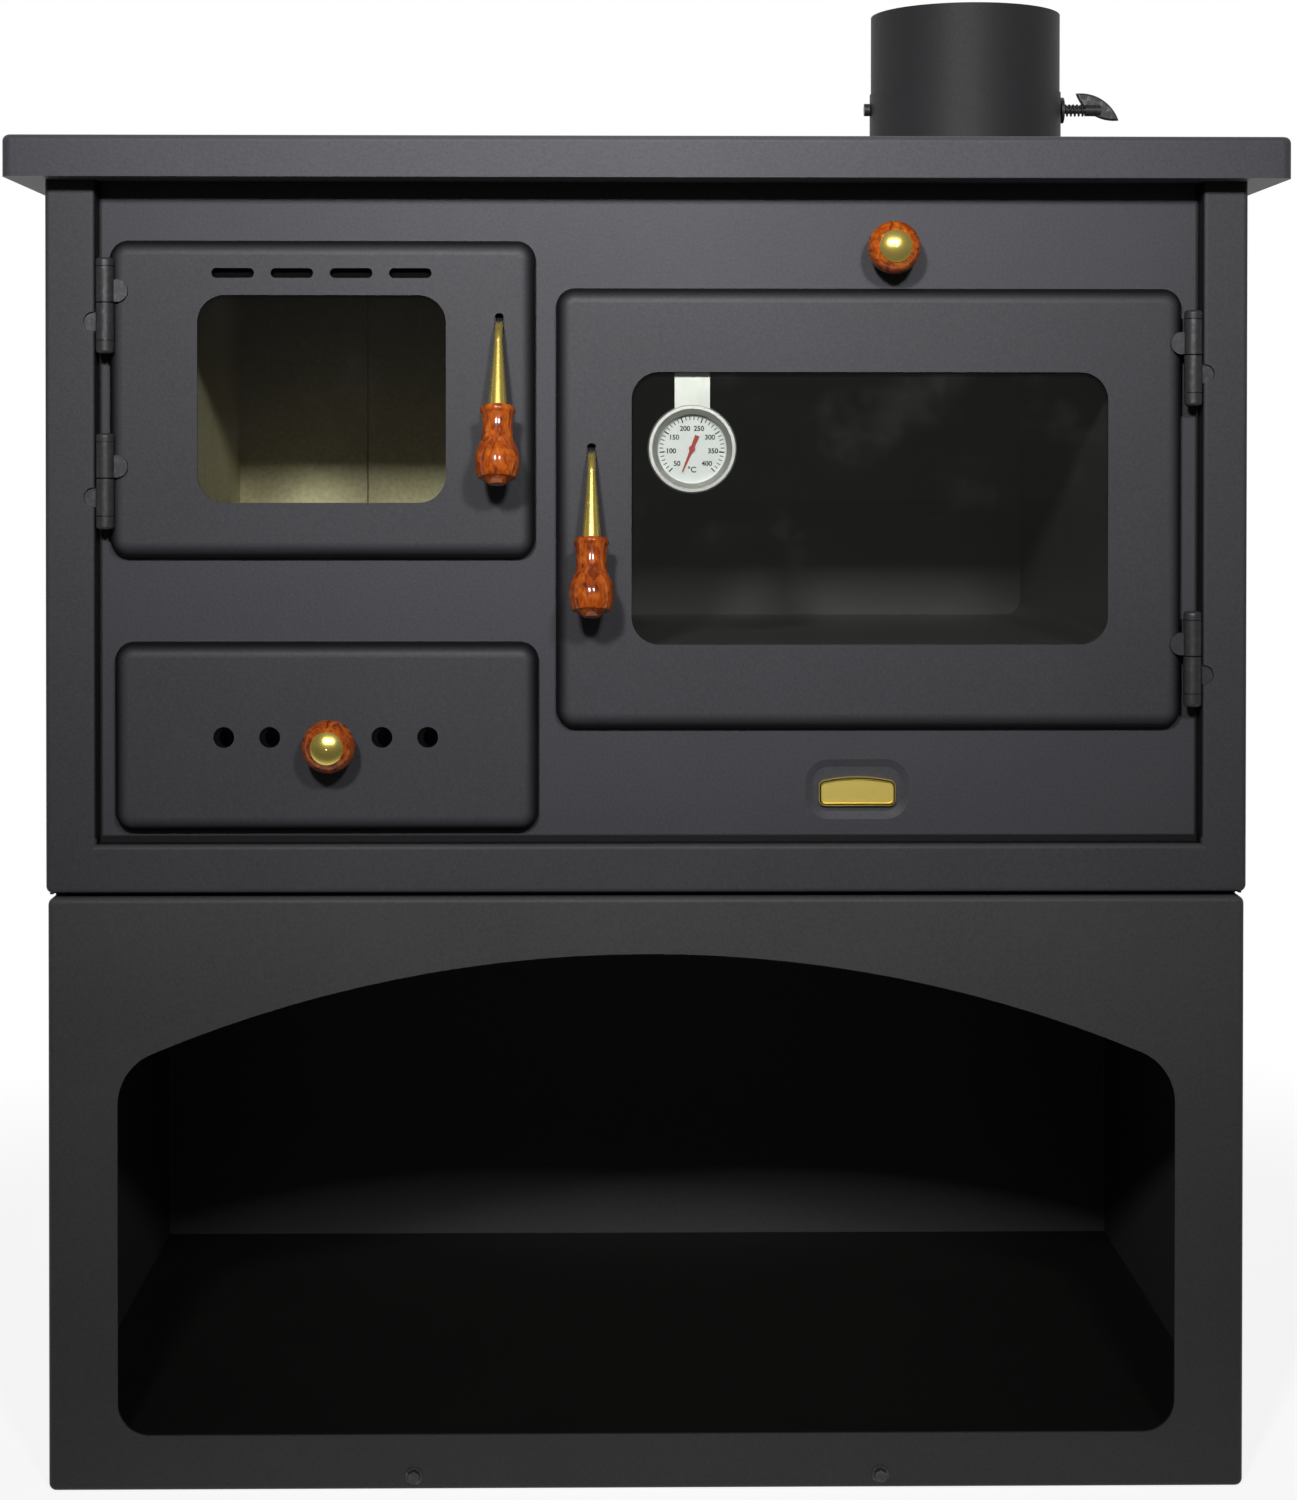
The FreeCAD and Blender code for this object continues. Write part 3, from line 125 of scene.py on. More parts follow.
class FinishSettings(bpy.types.PropertyGroup):
    """Colours of the stove's finishes, and what dulls its glass and badge."""
    paint: colour_property("Paint", "Matt charcoal paint of the body", (0.062, 0.062, 0.0705))
    base: colour_property("Base", "Paint of the base, a little lighter", (0.066, 0.0665, 0.068))
    posts: colour_property("Posts", "Paint of the front frame, a little darker", (0.056, 0.056, 0.061))
    door: colour_property("Doors", "Paint of the doors and the drawer front", (0.054, 0.054, 0.061))
    hob: colour_property("Hob", "Paint of the hob plate", (0.064, 0.064, 0.074))
    flue: colour_property("Flue", "Matt black of the flue collar", (0.027, 0.027, 0.029))
    store: colour_property("Wood store floor", "Black sheet under the stacked wood", (0.016, 0.016, 0.015))
    # Near-black of the sheets behind the slots and holes: painted shade
    sooted: colour_property("Sooted sheet", "Sheets behind the slots and holes", (0.004, 0.004, 0.004))
    lining: colour_property("Oven lining", "Grey enamel inside the oven", (0.06, 0.06, 0.06))
    hinge: colour_property("Hinges", "Darkened steel of the hinges", (0.045, 0.045, 0.048))
    latch: colour_property("Latches", "Blackened steel of the latches", (0.02, 0.02, 0.02))
    bare_steel: colour_property("Bare sheet", "Bare steel sheet inside the stove", (0.30, 0.30, 0.31))
    iron: colour_property("Cast iron", "Grate and the plate under it", (0.05, 0.048, 0.046))
    brick: colour_property("Firebrick", "Pressed brick lining", (0.62, 0.56, 0.34))
    # Smoke stain on the bricks, partly painted shade of the firebox's upper part
    soot: colour_property("Soot", "Smoke stain on the bricks", (0.12, 0.11, 0.08))
    brass: colour_property("Brass", "Polished brass", (0.92, 0.72, 0.18))
    chrome: colour_property("Bright steel", "Case of the thermometer", (0.80, 0.80, 0.77))
    wood_dark: colour_property("Wood, dark", "Dark bands in the turned wood", (0.10, 0.013, 0.0022))
    wood_mid: colour_property("Wood, middle", "Main tone of the turned wood", (0.39, 0.068, 0.005))
    wood_light: colour_property("Wood, light", "Light bands in the turned wood", (0.62, 0.17, 0.016))
    glass: colour_property("Glass", "Tint of light through the door glass", (0.97, 0.98, 0.965))
    lens: colour_property("Lens", "Tint of light through the thermometer's lens", (0.99, 0.99, 0.99))
    rope: colour_property("Rope", "Woven glass rope of the door seals", (0.11, 0.11, 0.11))
    screw: colour_property("Screws", "Blackened screws of the base", (0.05, 0.05, 0.05))
    oven_film: share_property("Oven film", "Light caught by the film on the oven's glass", 0.006)
    firebox_film: share_property("Firebox film", "Light caught by the film on the firebox's glass", 0.0025)
    lens_film: share_property("Lens film", "Light caught by the film on the thermometer's lens", 0.001)
    badge_roughness: share_property("Badge roughness", "Dullness of the brass of the badge", 0.42)


class EdgeSettings(bpy.types.PropertyGroup):
    """Painted shade, partly grime, on rolled rims and seams, and painted shade, partly smoke stain, behind the
    doors.
    """
    # Darkening of the rolled rims: painted shade, partly grime
    roll_end: length_property("Roll end", "Depth behind the flat of a front where the grime is full", 0.0075)
    roll_stain: share_property("Roll stain", "Share of the paint's tone taken by the grime", 0.96)
    # Darkening of the panel behind a door: painted shade, partly smoke stain
    panel_rim: length_property("Panel rim", "Width of the soft rim of the stain behind a door", 0.012)
    panel_stain: share_property("Panel stain", "Share of the panel's tone taken behind a door", 0.93)
    left_post: length_property("Left post", "Width of the left post, up to the panel", 0.03175)
    right_post: length_property("Right post", "Width of the right post, up to the panel", 0.02875)
    rail: length_property("Rail", "Height of the bottom rail, up to the panel", 0.0332)
    # Darkening of the panel along the frame: painted shade in the seam, partly grime
    seam: length_property("Seam", "Width of the full grime on the panel along the frame", 0.0007)
    seam_rim: length_property("Seam rim", "Width of its soft rim", 0.0018)
    seam_stain: share_property("Seam stain", "Share of the panel's tone taken along the frame", 0.85)
    # Darkening of the frame's rolled edges and of its rail top in the recess: painted shade, partly grime
    post_start: length_property("Post start", "Depth behind the frame's flat where its grime starts", 0.0002)
    post_end: length_property("Post end", "Depth behind the frame's flat where it is full", 0.0015)
    rail_start: length_property("Rail start", "Depth where the grime starts on top of the rail", 0.0026)
    rail_end: length_property("Rail end", "Depth where it is full on top of the rail", 0.0042)
    post_stain: share_property("Post stain", "Share of the frame's tone taken on its rolled edges", 0.85)


class DialSettings(bpy.types.PropertyGroup):
    """Print on the thermometer's dial."""
    face: colour_property("Face", "White of the dial", (0.90, 0.925, 0.93))
    ink: colour_property("Ink", "Numbers and ticks", (0.006, 0.006, 0.006))
    needle: colour_property("Needle", "Red of the needle", (0.45, 0.03, 0.015))
    first: count_property("First number", "Lowest temperature with a number", 50)
    last: count_property("Last number", "Highest temperature with a number", 400)
    step: count_property("Number step", "Degrees between two numbers", 50)
    tick_step: count_property("Tick step", "Degrees between two ticks", 10)
    top: count_property("Top", "Temperature at the top of the dial", 225)
    spread: number_property("Spread", "Turn of the needle, in degrees, for one degree of heat", 0.772)
    number_height: length_property("Number height", "Height of the figures", 0.0044)
    number_bold: length_property("Number weight", "Thickening of the figures", 0.00012)
    number_share: share_property("Number ring", "Share of the dial's radius at the figures", 0.61)
    unit_scale: number_property("Unit scale", "Size of the unit's sign over that of the figures", 1.15)
    tick_share: share_property("Tick ring", "Share of the dial's radius at the ends of the ticks", 0.94)
    tick_long: length_property("Long tick", "Length of the ticks at the numbers", 0.0034)
    tick_short: length_property("Short tick", "Length of the ticks between", 0.0025)
    tick_width: length_property("Tick width", "Width of a tick", 0.00055)
    tick_bold: number_property("Tick weight", "Width of a long tick over that of a short one", 1.5)
    ink_height: length_property("Ink height", "Height of the print above the dial", 0.00008)


class RopeSettings(bpy.types.PropertyGroup):
    """Rope seals behind the doors."""
    width: length_property("Width", "Width of the rope", 0.009)
    corner: length_property("Corner", "Radius of the rope's line in a corner", 0.02)
    step: length_property("Step", "Distance between two rings of the mesh", 0.0011)
    strand: length_property("Strand", "Length of one crossing of the braid", 0.0062)
    relief: length_property("Relief", "Height of the strands", 0.0003)
    strands: count_property("Strands", "Strands around the rope", 4)
    sides: count_property("Sides", "Sides of the rope's mesh", 20)


class ScrewSettings(bpy.types.PropertyGroup):
    """Screws in the front of the base."""
    spacing: length_property("Spacing", "Distance between the screws", 0.294)
    height: length_property("Height", "Height of the screws above the floor", 0.009)
    washer: length_property("Washer", "Radius of the pressed washer", 0.0056)
    head: length_property("Head", "Radius of the hexagon over its corners", 0.0041)
    head_height: length_property("Head height", "Height of the head", 0.0026)
    washer_height: length_property("Washer height", "Height of the washer", 0.0008)
    ease: length_property("Ease", "Rounding of the head's edges", 0.0004)
    washer_sides: count_property("Washer sides", "Sides of the washer's mesh", 24)
    head_sides: count_property("Head sides", "Sides of the head", 6)


class FoldSettings(bpy.types.PropertyGroup):
    """Inward fold at the top of the base."""
    width: length_property("Width", "Width of the fold", 0.016)
    sheet: length_property("Sheet", "Thickness of the fold", 0.0015)
    inset: length_property("Inset", "Distance from the base's outer face to the fold", 0.0018)
    drop: length_property("Drop", "Distance from the base's top to the fold", 0.0002)


class BadgeSettings(bpy.types.PropertyGroup):
    """Raised rim of the badge plate."""
    rim: length_property("Rim", "Width of the rim", 0.0013)
    height: length_property("Height", "Height of the rim above the plate", 0.0006)


class StageSettings(bpy.types.PropertyGroup):
    """Studio and camera."""
    floor: colour_property("Floor", "Pale floor", (0.5, 0.5, 0.5))
    floor_lift: number_property("Floor lift", "White added to the floor where the camera sees it", 0.96)
    shade_depth: number_property("Shade depth", "White held back near the stove, for its shadow", 0.12)
    shade_start: length_property("Shade start", "Distance from the middle where the floor gets whiter", 0.6)
    shade_end: length_property("Shade end", "Distance from the middle where the floor is all white", 1.3)
    floor_size: length_property("Floor size", "Side of the floor", 60.0)
    ambient: number_property("Ambient", "Level of the even light from all round", 0.08)
    left_power: power_property("Left power", "Power of the left lamp", 2.6)
    right_power: power_property("Right power", "Power of the right lamp", 1.75)
    key_spread: angle_property("Lamp spread", "Width of the beam of a soft lamp", math.radians(56.0))
    key_size: length_property("Lamp size", "Side of the soft lamps", 0.16)
    key_left: place_property("Left lamp", "Place of the left lamp", (-0.36, -1.95, 1.395))
    key_right: place_property("Right lamp", "Place of the right lamp", (0.36, -1.95, 1.395))
    key_aim: place_property("Lamp aim", "Point that the lamps face", (0.0, -0.24, 0.86))
    camera: place_property("Camera", "Place of the camera", (-0.02807, -1.91004, 0.65906))
    yaw: angle_property("Yaw", "Turn of the camera to the right", 0.0128)
    pitch: angle_property("Pitch", "Tilt of the camera, downwards below zero", -0.0105)
    roll: angle_property("Roll", "Roll of the camera", 0.0006)
    focal: number_property("Focal length", "Focal length in shares of the image width", 2676.63 / 1297)
    shift_x: number_property("Shift across", "Shift of the lens across", 0.00843)
    shift_y: number_property("Shift up", "Shift of the lens upwards", -0.2146)


class CookstoveSettings(bpy.types.PropertyGroup):
    """All settings of the cookstove's looks."""
    finish: PointerProperty(type=FinishSettings)
    edge: PointerProperty(type=EdgeSettings)
    dial: PointerProperty(type=DialSettings)
    rope: PointerProperty(type=RopeSettings)
    screw: PointerProperty(type=ScrewSettings)
    fold: PointerProperty(type=FoldSettings)
    badge: PointerProperty(type=BadgeSettings)
    stage: PointerProperty(type=StageSettings)


class Value:
    """A socket of a shader tree; arithmetic on it adds Math nodes."""

    def __init__(self, finish, socket):
        self.finish = finish
        self.socket = socket

    def math(self, operation, *operands):
        return self.finish.node("ShaderNodeMath", {"operation": operation}, dict(enumerate(operands)))

    def __add__(self, other):
        return self.math("ADD", self, other)

    def __sub__(self, other):
        return self.math("SUBTRACT", self, other)

    def __rsub__(self, other):
        return self.math("SUBTRACT", other, self)

    def __mul__(self, other):
        return self.math("MULTIPLY", self, other)

    def __truediv__(self, other):
        return self.math("DIVIDE", self, other)

    __radd__ = __add__
    __rmul__ = __mul__

    def larger(self, other):
        return self.math("MAXIMUM", self, other)

    def sine(self):
        return self.math("SINE", self)


class Finish:
    """A procedural material and the few nodes that its recipe needs."""

    def __init__(self, name, tree=None):
        self.material = None
        if tree is None:
            self.material = bpy.data.materials.new(name)
            self.material.use_nodes = True
            tree = self.material.node_tree
        self.tree = tree
        self.tree.nodes.clear()

    def node(self, kind, settings=None, inputs=None, output=0):
        """Add a node, set it up, fill its sockets with values or links and return one of its outputs."""
        made = self.tree.nodes.new(kind)
        for name, setting in (settings or {}).items():
            if name == "stops":
                self.set_stops(made.color_ramp, setting)
            else:
                setattr(made, name, setting)
        for key, value in (inputs or {}).items():
            if isinstance(value, Value):
                self.tree.links.new(value.socket, made.inputs[key])
            else:
                made.inputs[key].default_value = value
        return Value(self, made.outputs[output])

    @staticmethod
    def set_stops(ramp, stops):
        while len(ramp.elements) < len(stops):
            ramp.elements.new(1.0)
        for element, (place, colour) in zip(ramp.elements, stops):
            element.position = place
            element.color = (*colour, 1.0)

    def position(self):
        return self.node("ShaderNodeTexCoord", output="Object")

    def stretched(self, spot, scale):
        return self.node("ShaderNodeMapping", {"vector_type": "POINT"}, {"Vector": spot, "Scale": scale})

    def noise(self, spot, scale, detail=2.0, roughness=0.5, distortion=0.0):
        return self.node("ShaderNodeTexNoise", None, {"Vector": spot, "Scale": scale, "Detail": detail,
                                                      "Roughness": roughness, "Distortion": distortion})

    def part(self, vector, axis):
        return self.node("ShaderNodeSeparateXYZ", None, {"Vector": vector}, axis)

    def ramp(self, value, stops):
        return self.node("ShaderNodeValToRGB", {"stops": stops}, {"Fac": value})

    def between(self, value, low, high):
        """0 below low, 1 above high and a soft step between them."""
        return self.node("ShaderNodeMapRange", {"interpolation_type": "SMOOTHSTEP"},
                         {"Value": value, "From Min": low, "From Max": high})

    def within(self, value, low, high, rim):
        """1 between two limits, with soft rims inside them."""
        return self.between(value, low, low + rim) * (1.0 - self.between(value, high - rim, high))

    def mix(self, share, first, second):
        return self.node("ShaderNodeMix", {"data_type": "RGBA"}, {0: share, 6: opaque(first), 7: opaque(second)}, 2)

    def shade(self, colour, tone):
        """A colour made lighter or darker by a value."""
        if not isinstance(colour, Value):
            colour = tuple(colour)[:3]
        return self.node("ShaderNodeVectorMath", {"operation": "SCALE"}, {0: colour, "Scale": tone})

    def bump(self, height, strength, distance):
        return self.node("ShaderNodeBump", None, {"Height": height, "Strength": strength, "Distance": distance})

    def surface(self, **sockets):
        """Close the material with one surface shader."""
        names = {name.replace("_", " ").title().replace("Ior", "IOR"): value for name, value in sockets.items()}
        return self.close(self.node("ShaderNodeBsdfPrincipled", None, names))

    def close(self, shader, kind="ShaderNodeOutputMaterial"):
        """Link a shader to the output of its tree."""
        out = self.tree.nodes.new(kind)
        self.tree.links.new(shader.socket, out.inputs["Surface"])
        return self.material


def opaque(colour):
    return colour if isinstance(colour, Value) else (*tuple(colour)[:3], 1.0)


def settings():
    return bpy.context.scene.cookstove


def dress(names, material):
    """Give CAD nodes a finish."""
    for name in names:
        mesh = nodes[name].data
        mesh.materials.clear()
        mesh.materials.append(material)


def painted(name, colour, grain=1.0, roughness=0.5, specular=0.2, stain=None):
    """Matt heat-resistant paint: sandy grain, soft mottle, dull sheen and, where given, a dark stain that is partly
    painted shade.
    """
    finish = Finish(name)
    spot = finish.position()
    sand = finish.noise(spot, scale=620.0, detail=4.0, roughness=0.75)
    peel = finish.noise(spot, scale=420.0, detail=3.0)
    cloud = finish.noise(spot, scale=9.0, detail=3.0)
    colour = finish.shade(colour, 0.48 + sand * 0.8 + cloud * 0.24)
    # The stain given here darkens the paint; it is partly painted shade.
    if stain:
        colour = finish.shade(colour, 1.0 - stain(finish, spot))
    height = sand * 0.6 + peel * 0.4
    return finish.surface(base_color=colour, roughness=roughness - 0.06 + peel * 0.14, specular_ior_level=specular,
                          normal=finish.bump(height, strength=0.32 * grain, distance=0.0004))


def stain_on_roll(finish, spot):
    """Painted shade, partly grime, on the rolled rims of the pressed fronts: it darkens fast behind their flat."""
    edge = settings().edge
    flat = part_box("oven_door_skin")[0][1]
    depth = (finish.part(spot, "Y") - flat) / edge.roll_end
    return finish.ramp(depth, [(place, (share,) * 3) for place, share in ROLL_GRIME_AND_SHADE]) * edge.roll_stain


def stain_on_frame(finish, spot):
    """Painted shade, partly grime, on the rolled edges of the front frame; on top of its rail, in the recess, it
    starts further back.
    """
    edge = settings().edge
    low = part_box("front_frame")[0]
    rail_top = low[2] + edge.rail
    depth = finish.part(spot, "Y")
    clean = finish.within(finish.part(spot, "Z"), low[2] + edge.seam_rim, rail_top + edge.seam_rim, edge.seam)
    posts = finish.between(depth, low[1] + edge.post_start, low[1] + edge.post_end) * (1.0 - clean)
    rail = finish.between(depth, low[1] + edge.rail_start, low[1] + edge.rail_end)
    return posts.larger(rail) * edge.post_stain


def patch_behind(finish, across, up, door):
    """1 on the panel behind a door, with a soft rim."""
    rim = settings().edge.panel_rim
    low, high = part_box(door)
    return finish.within(across, low[0], high[0], rim) * finish.within(up, low[2], high[2], rim)


def stain_on_panel(finish, spot):
    """Painted shade, partly smoke stain, on the front panel behind each door, and painted shade, partly grime,
    along the frame.
    """
    edge = settings().edge
    across, up = finish.part(spot, "X"), finish.part(spot, "Z")
    firebox, oven = (patch_behind(finish, across, up, door) for door in ("firebox_door_skin", "oven_door_skin"))
    # Along the frame: painted shade in the seam, partly grime
    low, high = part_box("front_frame")
    left, right = low[0] + edge.left_post + edge.seam, high[0] - edge.right_post - edge.seam
    foot = low[2] + edge.rail + edge.seam
    clean = finish.within(across, left, right, edge.seam_rim) * finish.between(up, foot, foot + edge.seam_rim)
    return ((firebox + oven) * edge.panel_stain).larger((1.0 - clean) * edge.seam_stain)


def darkened_steel(name, colour):
    """Oiled black steel with a worn gleam on the high spots."""
    finish = Finish(name)
    spot = finish.position()
    streak = finish.noise(spot, scale=260.0, detail=4.0, roughness=0.6)
    grain = finish.noise(spot, scale=1700.0, detail=2.0)
    worn = finish.between(streak, 0.46, 0.72)
    colour = finish.mix(worn * 0.45, colour, WORN_STEEL)
    return finish.surface(base_color=colour, metallic=worn * 0.4 + 0.35, roughness=0.42 - worn * 0.1 + grain * 0.1,
                          normal=finish.bump(grain, strength=0.2, distance=0.0003))


def bare_sheet(name, colour):
    """Rolled steel sheet with fine drawn lines and a thin bloom."""
    finish = Finish(name)
    spot = finish.position()
    drawn = finish.noise(finish.stretched(spot, (1.0, 0.04, 1.0)), scale=900.0, detail=3.0)
    bloom = finish.noise(spot, scale=18.0, detail=4.0, roughness=0.6)
    colour = finish.shade(colour, 0.7 + bloom * 0.45 + drawn * 0.12)
    return finish.surface(base_color=colour, metallic=0.85, roughness=0.36 + bloom * 0.16,
                          normal=finish.bump(drawn, strength=0.12, distance=0.0003))


def cast_iron(name, colour):
    """Sand-cast iron with a coarse skin."""
    finish = Finish(name)
    spot = finish.position()
    skin = finish.noise(spot, scale=520.0, detail=5.0, roughness=0.65)
    stain = finish.noise(spot, scale=24.0, detail=3.0)
    rust = finish.between(stain, 0.5, 0.75) * 0.35
    colour = finish.mix(rust, finish.shade(colour, 0.6 + skin * 0.8), RUST_BLOOM)
    return finish.surface(base_color=colour, roughness=0.62 + skin * 0.2,
                          normal=finish.bump(skin, strength=0.5, distance=0.0008))


def firebrick(name, colour, soot):
    """Pressed brick: speckled body, small pores and smoke stain that thickens upwards, partly painted shade."""
    low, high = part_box("firebrick_back")
    finish = Finish(name)
    spot = finish.position()
    flake = finish.node("ShaderNodeTexVoronoi", {"feature": "F1"}, {"Vector": spot, "Scale": 300.0})
    cloud = finish.noise(spot, scale=22.0, detail=5.0, roughness=0.6)
    pores = finish.between(finish.noise(spot, scale=640.0, detail=3.0, roughness=0.6), 0.6, 0.72)
    body = finish.shade(colour, 0.66 + cloud * 0.5 + flake * 0.25)
    body = finish.mix(pores * 0.5, body, BRICK_PORE)
    # Darker towards the top: smoke stain, partly painted shade of the upper firebox
    rise = finish.between(finish.part(spot, "Z") + cloud * 0.07, low[2] + 0.09, high[2] + 0.06)
    body = finish.mix(rise * 0.8, body, soot)
    return finish.surface(base_color=body, roughness=0.86, specular_ior_level=0.25,
                          normal=finish.bump(flake * 0.4 - pores * 0.6, strength=0.45, distance=0.001))


def polished_brass(name, colour, roughness=0.24):
    """Turned and polished brass with faint lathe lines and handling marks."""
    finish = Finish(name)
    spot = finish.position()
    marks = finish.noise(spot, scale=120.0, detail=4.0, roughness=0.6)
    lathe = finish.noise(finish.stretched(spot, (0.08, 0.08, 1.0)), scale=2600.0, detail=2.0)
    colour = finish.mix(finish.between(marks, 0.45, 0.8) * 0.2, colour, BRASS_TARNISH)
    return finish.surface(base_color=colour, metallic=0.85, roughness=roughness + marks * 0.06,
                          normal=finish.bump(lathe, strength=0.02, distance=0.0001))


def bright_steel(name, colour):
    """Bright rolled steel of the thermometer's case and strap."""
    finish = Finish(name)
    spot = finish.position()
    brushed = finish.noise(finish.stretched(spot, (1.0, 1.0, 0.05)), scale=1500.0, detail=3.0)
    colour = finish.shade(colour, 0.9 + brushed * 0.15)
    return finish.surface(base_color=colour, metallic=0.88, roughness=0.27 + brushed * 0.12,
                          normal=finish.bump(brushed, strength=0.05, distance=0.0002))


def lacquered_wood(name, tones, lengthways):
    """Turned hardwood with drawn-out figure, dark pores and a clear glossy lacquer."""
    finish = Finish(name)
    spot = finish.position()
    figure_scale = tuple(0.5 if axis == lengthways else 1.0 for axis in "XYZ")
    pore_scale = tuple(0.05 if axis == lengthways else 1.0 for axis in "XYZ")
    figure = finish.noise(finish.stretched(spot, figure_scale), scale=190.0, detail=5.0, roughness=0.6,
                          distortion=1.0)
    fibre = finish.noise(finish.stretched(spot, pore_scale), scale=1500.0, detail=3.0, roughness=0.6)
    pores = finish.between(fibre, 0.56, 0.7)
    colour = finish.ramp(figure + fibre * 0.16 - 0.08, ((0.32, tones[0]), (0.5, tones[1]), (0.72, tones[2])))
    colour = finish.mix(pores * 0.55, colour, tones[0])
    return finish.surface(base_color=colour, roughness=0.5 + pores * 0.2, specular_ior_level=0.05,
                          coat_weight=0.9, coat_roughness=0.11,
                          normal=finish.bump(pores, strength=0.06, distance=0.0002))


def window_glass(name, tint, film):
    """Clear flat glass: light goes straight through, the surface mirrors a little and a film dulls it."""
    finish = Finish(name)
    spot = finish.position()
    smear = finish.between(finish.noise(spot, scale=14.0, detail=5.0, roughness=0.65), 0.52, 0.8)
    clear = finish.node("ShaderNodeBsdfTransparent", None, {"Color": opaque(tint)})
    gloss = finish.node("ShaderNodeBsdfPrincipled", None, {"Base Color": opaque(GLASS_MIRROR), "Metallic": 1.0,
                                                           "Roughness": smear * 0.1 + 0.015})
    facing = finish.node("ShaderNodeFresnel", None, {"IOR": 1.45})
    pane = finish.node("ShaderNodeMixShader", None, {0: facing, 1: clear, 2: gloss})
    dust = finish.node("ShaderNodeBsdfDiffuse", None, {"Color": opaque(GLASS_DUST)})
    dusty = finish.node("ShaderNodeMixShader", None, {0: smear * film * 2.0 + film, 1: pane, 2: dust})
    return finish.close(dusty)


def woven_rope(name, colour):
    """Black glass-fibre rope: braided strands with loose fine fibres."""
    finish = Finish(name)
    spot = finish.position()
    across, up = finish.part(spot, "X"), finish.part(spot, "Z")
    twill = ((across + up) * 2400.0).sine() * ((across - up) * 2400.0).sine()
    fibre = finish.noise(spot, scale=2200.0, detail=3.0, roughness=0.7)
    colour = finish.shade(colour, 0.55 + twill * 0.22 + fibre * 0.75)
    return finish.surface(base_color=colour, roughness=0.92, specular_ior_level=0.2, sheen_weight=0.15,
                          normal=finish.bump(twill * 0.5 + fibre * 0.6, strength=0.5, distance=0.0005))


def printed_face(name, colour):
    """Printed white dial with a faint grain of the paper."""
    finish = Finish(name)
    spot = finish.position()
    grain = finish.noise(spot, scale=900.0, detail=2.0)
    tone = finish.noise(spot, scale=40.0, detail=2.0)
    return finish.surface(base_color=finish.shade(colour, 0.93 + grain * 0.06 + tone * 0.06), roughness=0.55,
                          normal=finish.bump(grain, strength=0.04, distance=0.0001))


def flat_ink(name, colour):
    """Dial ink or needle lacquer, slightly uneven."""
    finish = Finish(name)
    grain = finish.noise(finish.position(), scale=1600.0, detail=3.0)
    return finish.surface(base_color=finish.shade(colour, 0.75 + grain * 0.5), roughness=0.4 + grain * 0.2)


def new_piece(name, shape, material, body):
    """Make an object from a bmesh in place, and let it ride on a body."""
    mesh = bpy.data.meshes.new(name)
    shape.to_mesh(mesh)
    shape.free()
    mesh.materials.append(material)
    piece = bpy.data.objects.new(name, mesh)
    bpy.context.scene.collection.objects.link(piece)
    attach(piece, body)
    return piece


def shade_smooth(piece):
    for polygon in piece.data.polygons:
        polygon.use_smooth = True


class COOKSTOVE_OT_paint(bpy.types.Operator):
    """Paint the body, the base, the doors, the hob and the flue"""
    bl_idname = "cookstove.paint"
    bl_label = "Paint the sheets"

    def execute(self, context):
        tone = settings().finish
        dress(BODY_SHEETS, painted("body paint", tone.paint))
        # These stains are painted shade, partly smoke stain and grime: behind the doors, along the frame, on rims.
        dress(("front_panel",), painted("panel paint", tone.paint, stain=stain_on_panel))
        dress(("front_frame",), painted("post paint", tone.posts, stain=stain_on_frame))
        dress(BASE_SHEETS, painted("base paint", tone.base, grain=1.1))
        dress(PRESSED_FRONTS, painted("door paint", tone.door, grain=0.9, roughness=0.48, stain=stain_on_roll))
        dress(HOB_PLATES, painted("hob paint", tone.hob, grain=1.2, roughness=0.5))
        dress(FLUE_PIECES, painted("flue black", tone.flue, grain=0.8, roughness=0.55))
        dress(OVEN_LINING, painted("oven enamel", tone.lining, grain=0.4, roughness=0.36))
        dress(("base_floor",), painted("black sheet", tone.store, grain=0.6, roughness=0.5))
        # Near-black, with almost no sheen: painted shade behind the slots and holes
        dress(SHADE_BLACK_SHEETS, painted("sooted sheet", tone.sooted, grain=0.6, roughness=0.8, specular=0.03))
        return {"FINISHED"}


class COOKSTOVE_OT_metal(bpy.types.Operator):
    """Finish the hinges, the inner sheets, the castings, the brass and the thermometer's case"""
    bl_idname = "cookstove.metal"
    bl_label = "Finish the metal"

    def execute(self, context):
        tone = settings().finish
        dress(HINGES, darkened_steel("hinge steel", tone.hinge))
        dress(DAMPER_HARDWARE, darkened_steel("damper steel", tone.flue))
        dress(LATCH_PIECES, darkened_steel("latch steel", tone.latch))
        dress(BARE_SHEETS, bare_sheet("bare sheet", tone.bare_steel))
        dress(CAST_IRON, cast_iron("grate iron", tone.iron))
        dress(BRASS_PIECES, polished_brass("brass", tone.brass))
        dress(("badge_plate",), polished_brass("badge brass", tone.brass, tone.badge_roughness))
        dress(("thermometer_case",), bright_steel("dial case", tone.chrome))
        return {"FINISHED"}


class COOKSTOVE_OT_lining(bpy.types.Operator):
    """Finish the firebricks and the glass"""
    bl_idname = "cookstove.lining"
    bl_label = "Finish brick and glass"

    def execute(self, context):
        tone = settings().finish
        dress(FIREBRICKS, firebrick("firebrick", tone.brick, tone.soot))
        dress(("oven_glass",), window_glass("oven glass", tone.glass, tone.oven_film))
        dress(("firebox_glass",), window_glass("firebox glass", tone.glass, tone.firebox_film))
        dress(("thermometer_lens",), window_glass("lens glass", tone.lens, tone.lens_film))
        return {"FINISHED"}


class COOKSTOVE_OT_wood(bpy.types.Operator):
    """Lacquer the turned grips and knobs"""
    bl_idname = "cookstove.wood"
    bl_label = "Lacquer the wood"

    def execute(self, context):
        tone = settings().finish
        tones = [tuple(tone.wood_dark), tuple(tone.wood_mid), tuple(tone.wood_light)]
        dress(GRIPS, lacquered_wood("grip wood", tones, "Z"))
        dress(KNOBS, lacquered_wood("knob wood", tones, "Y"))
        return {"FINISHED"}


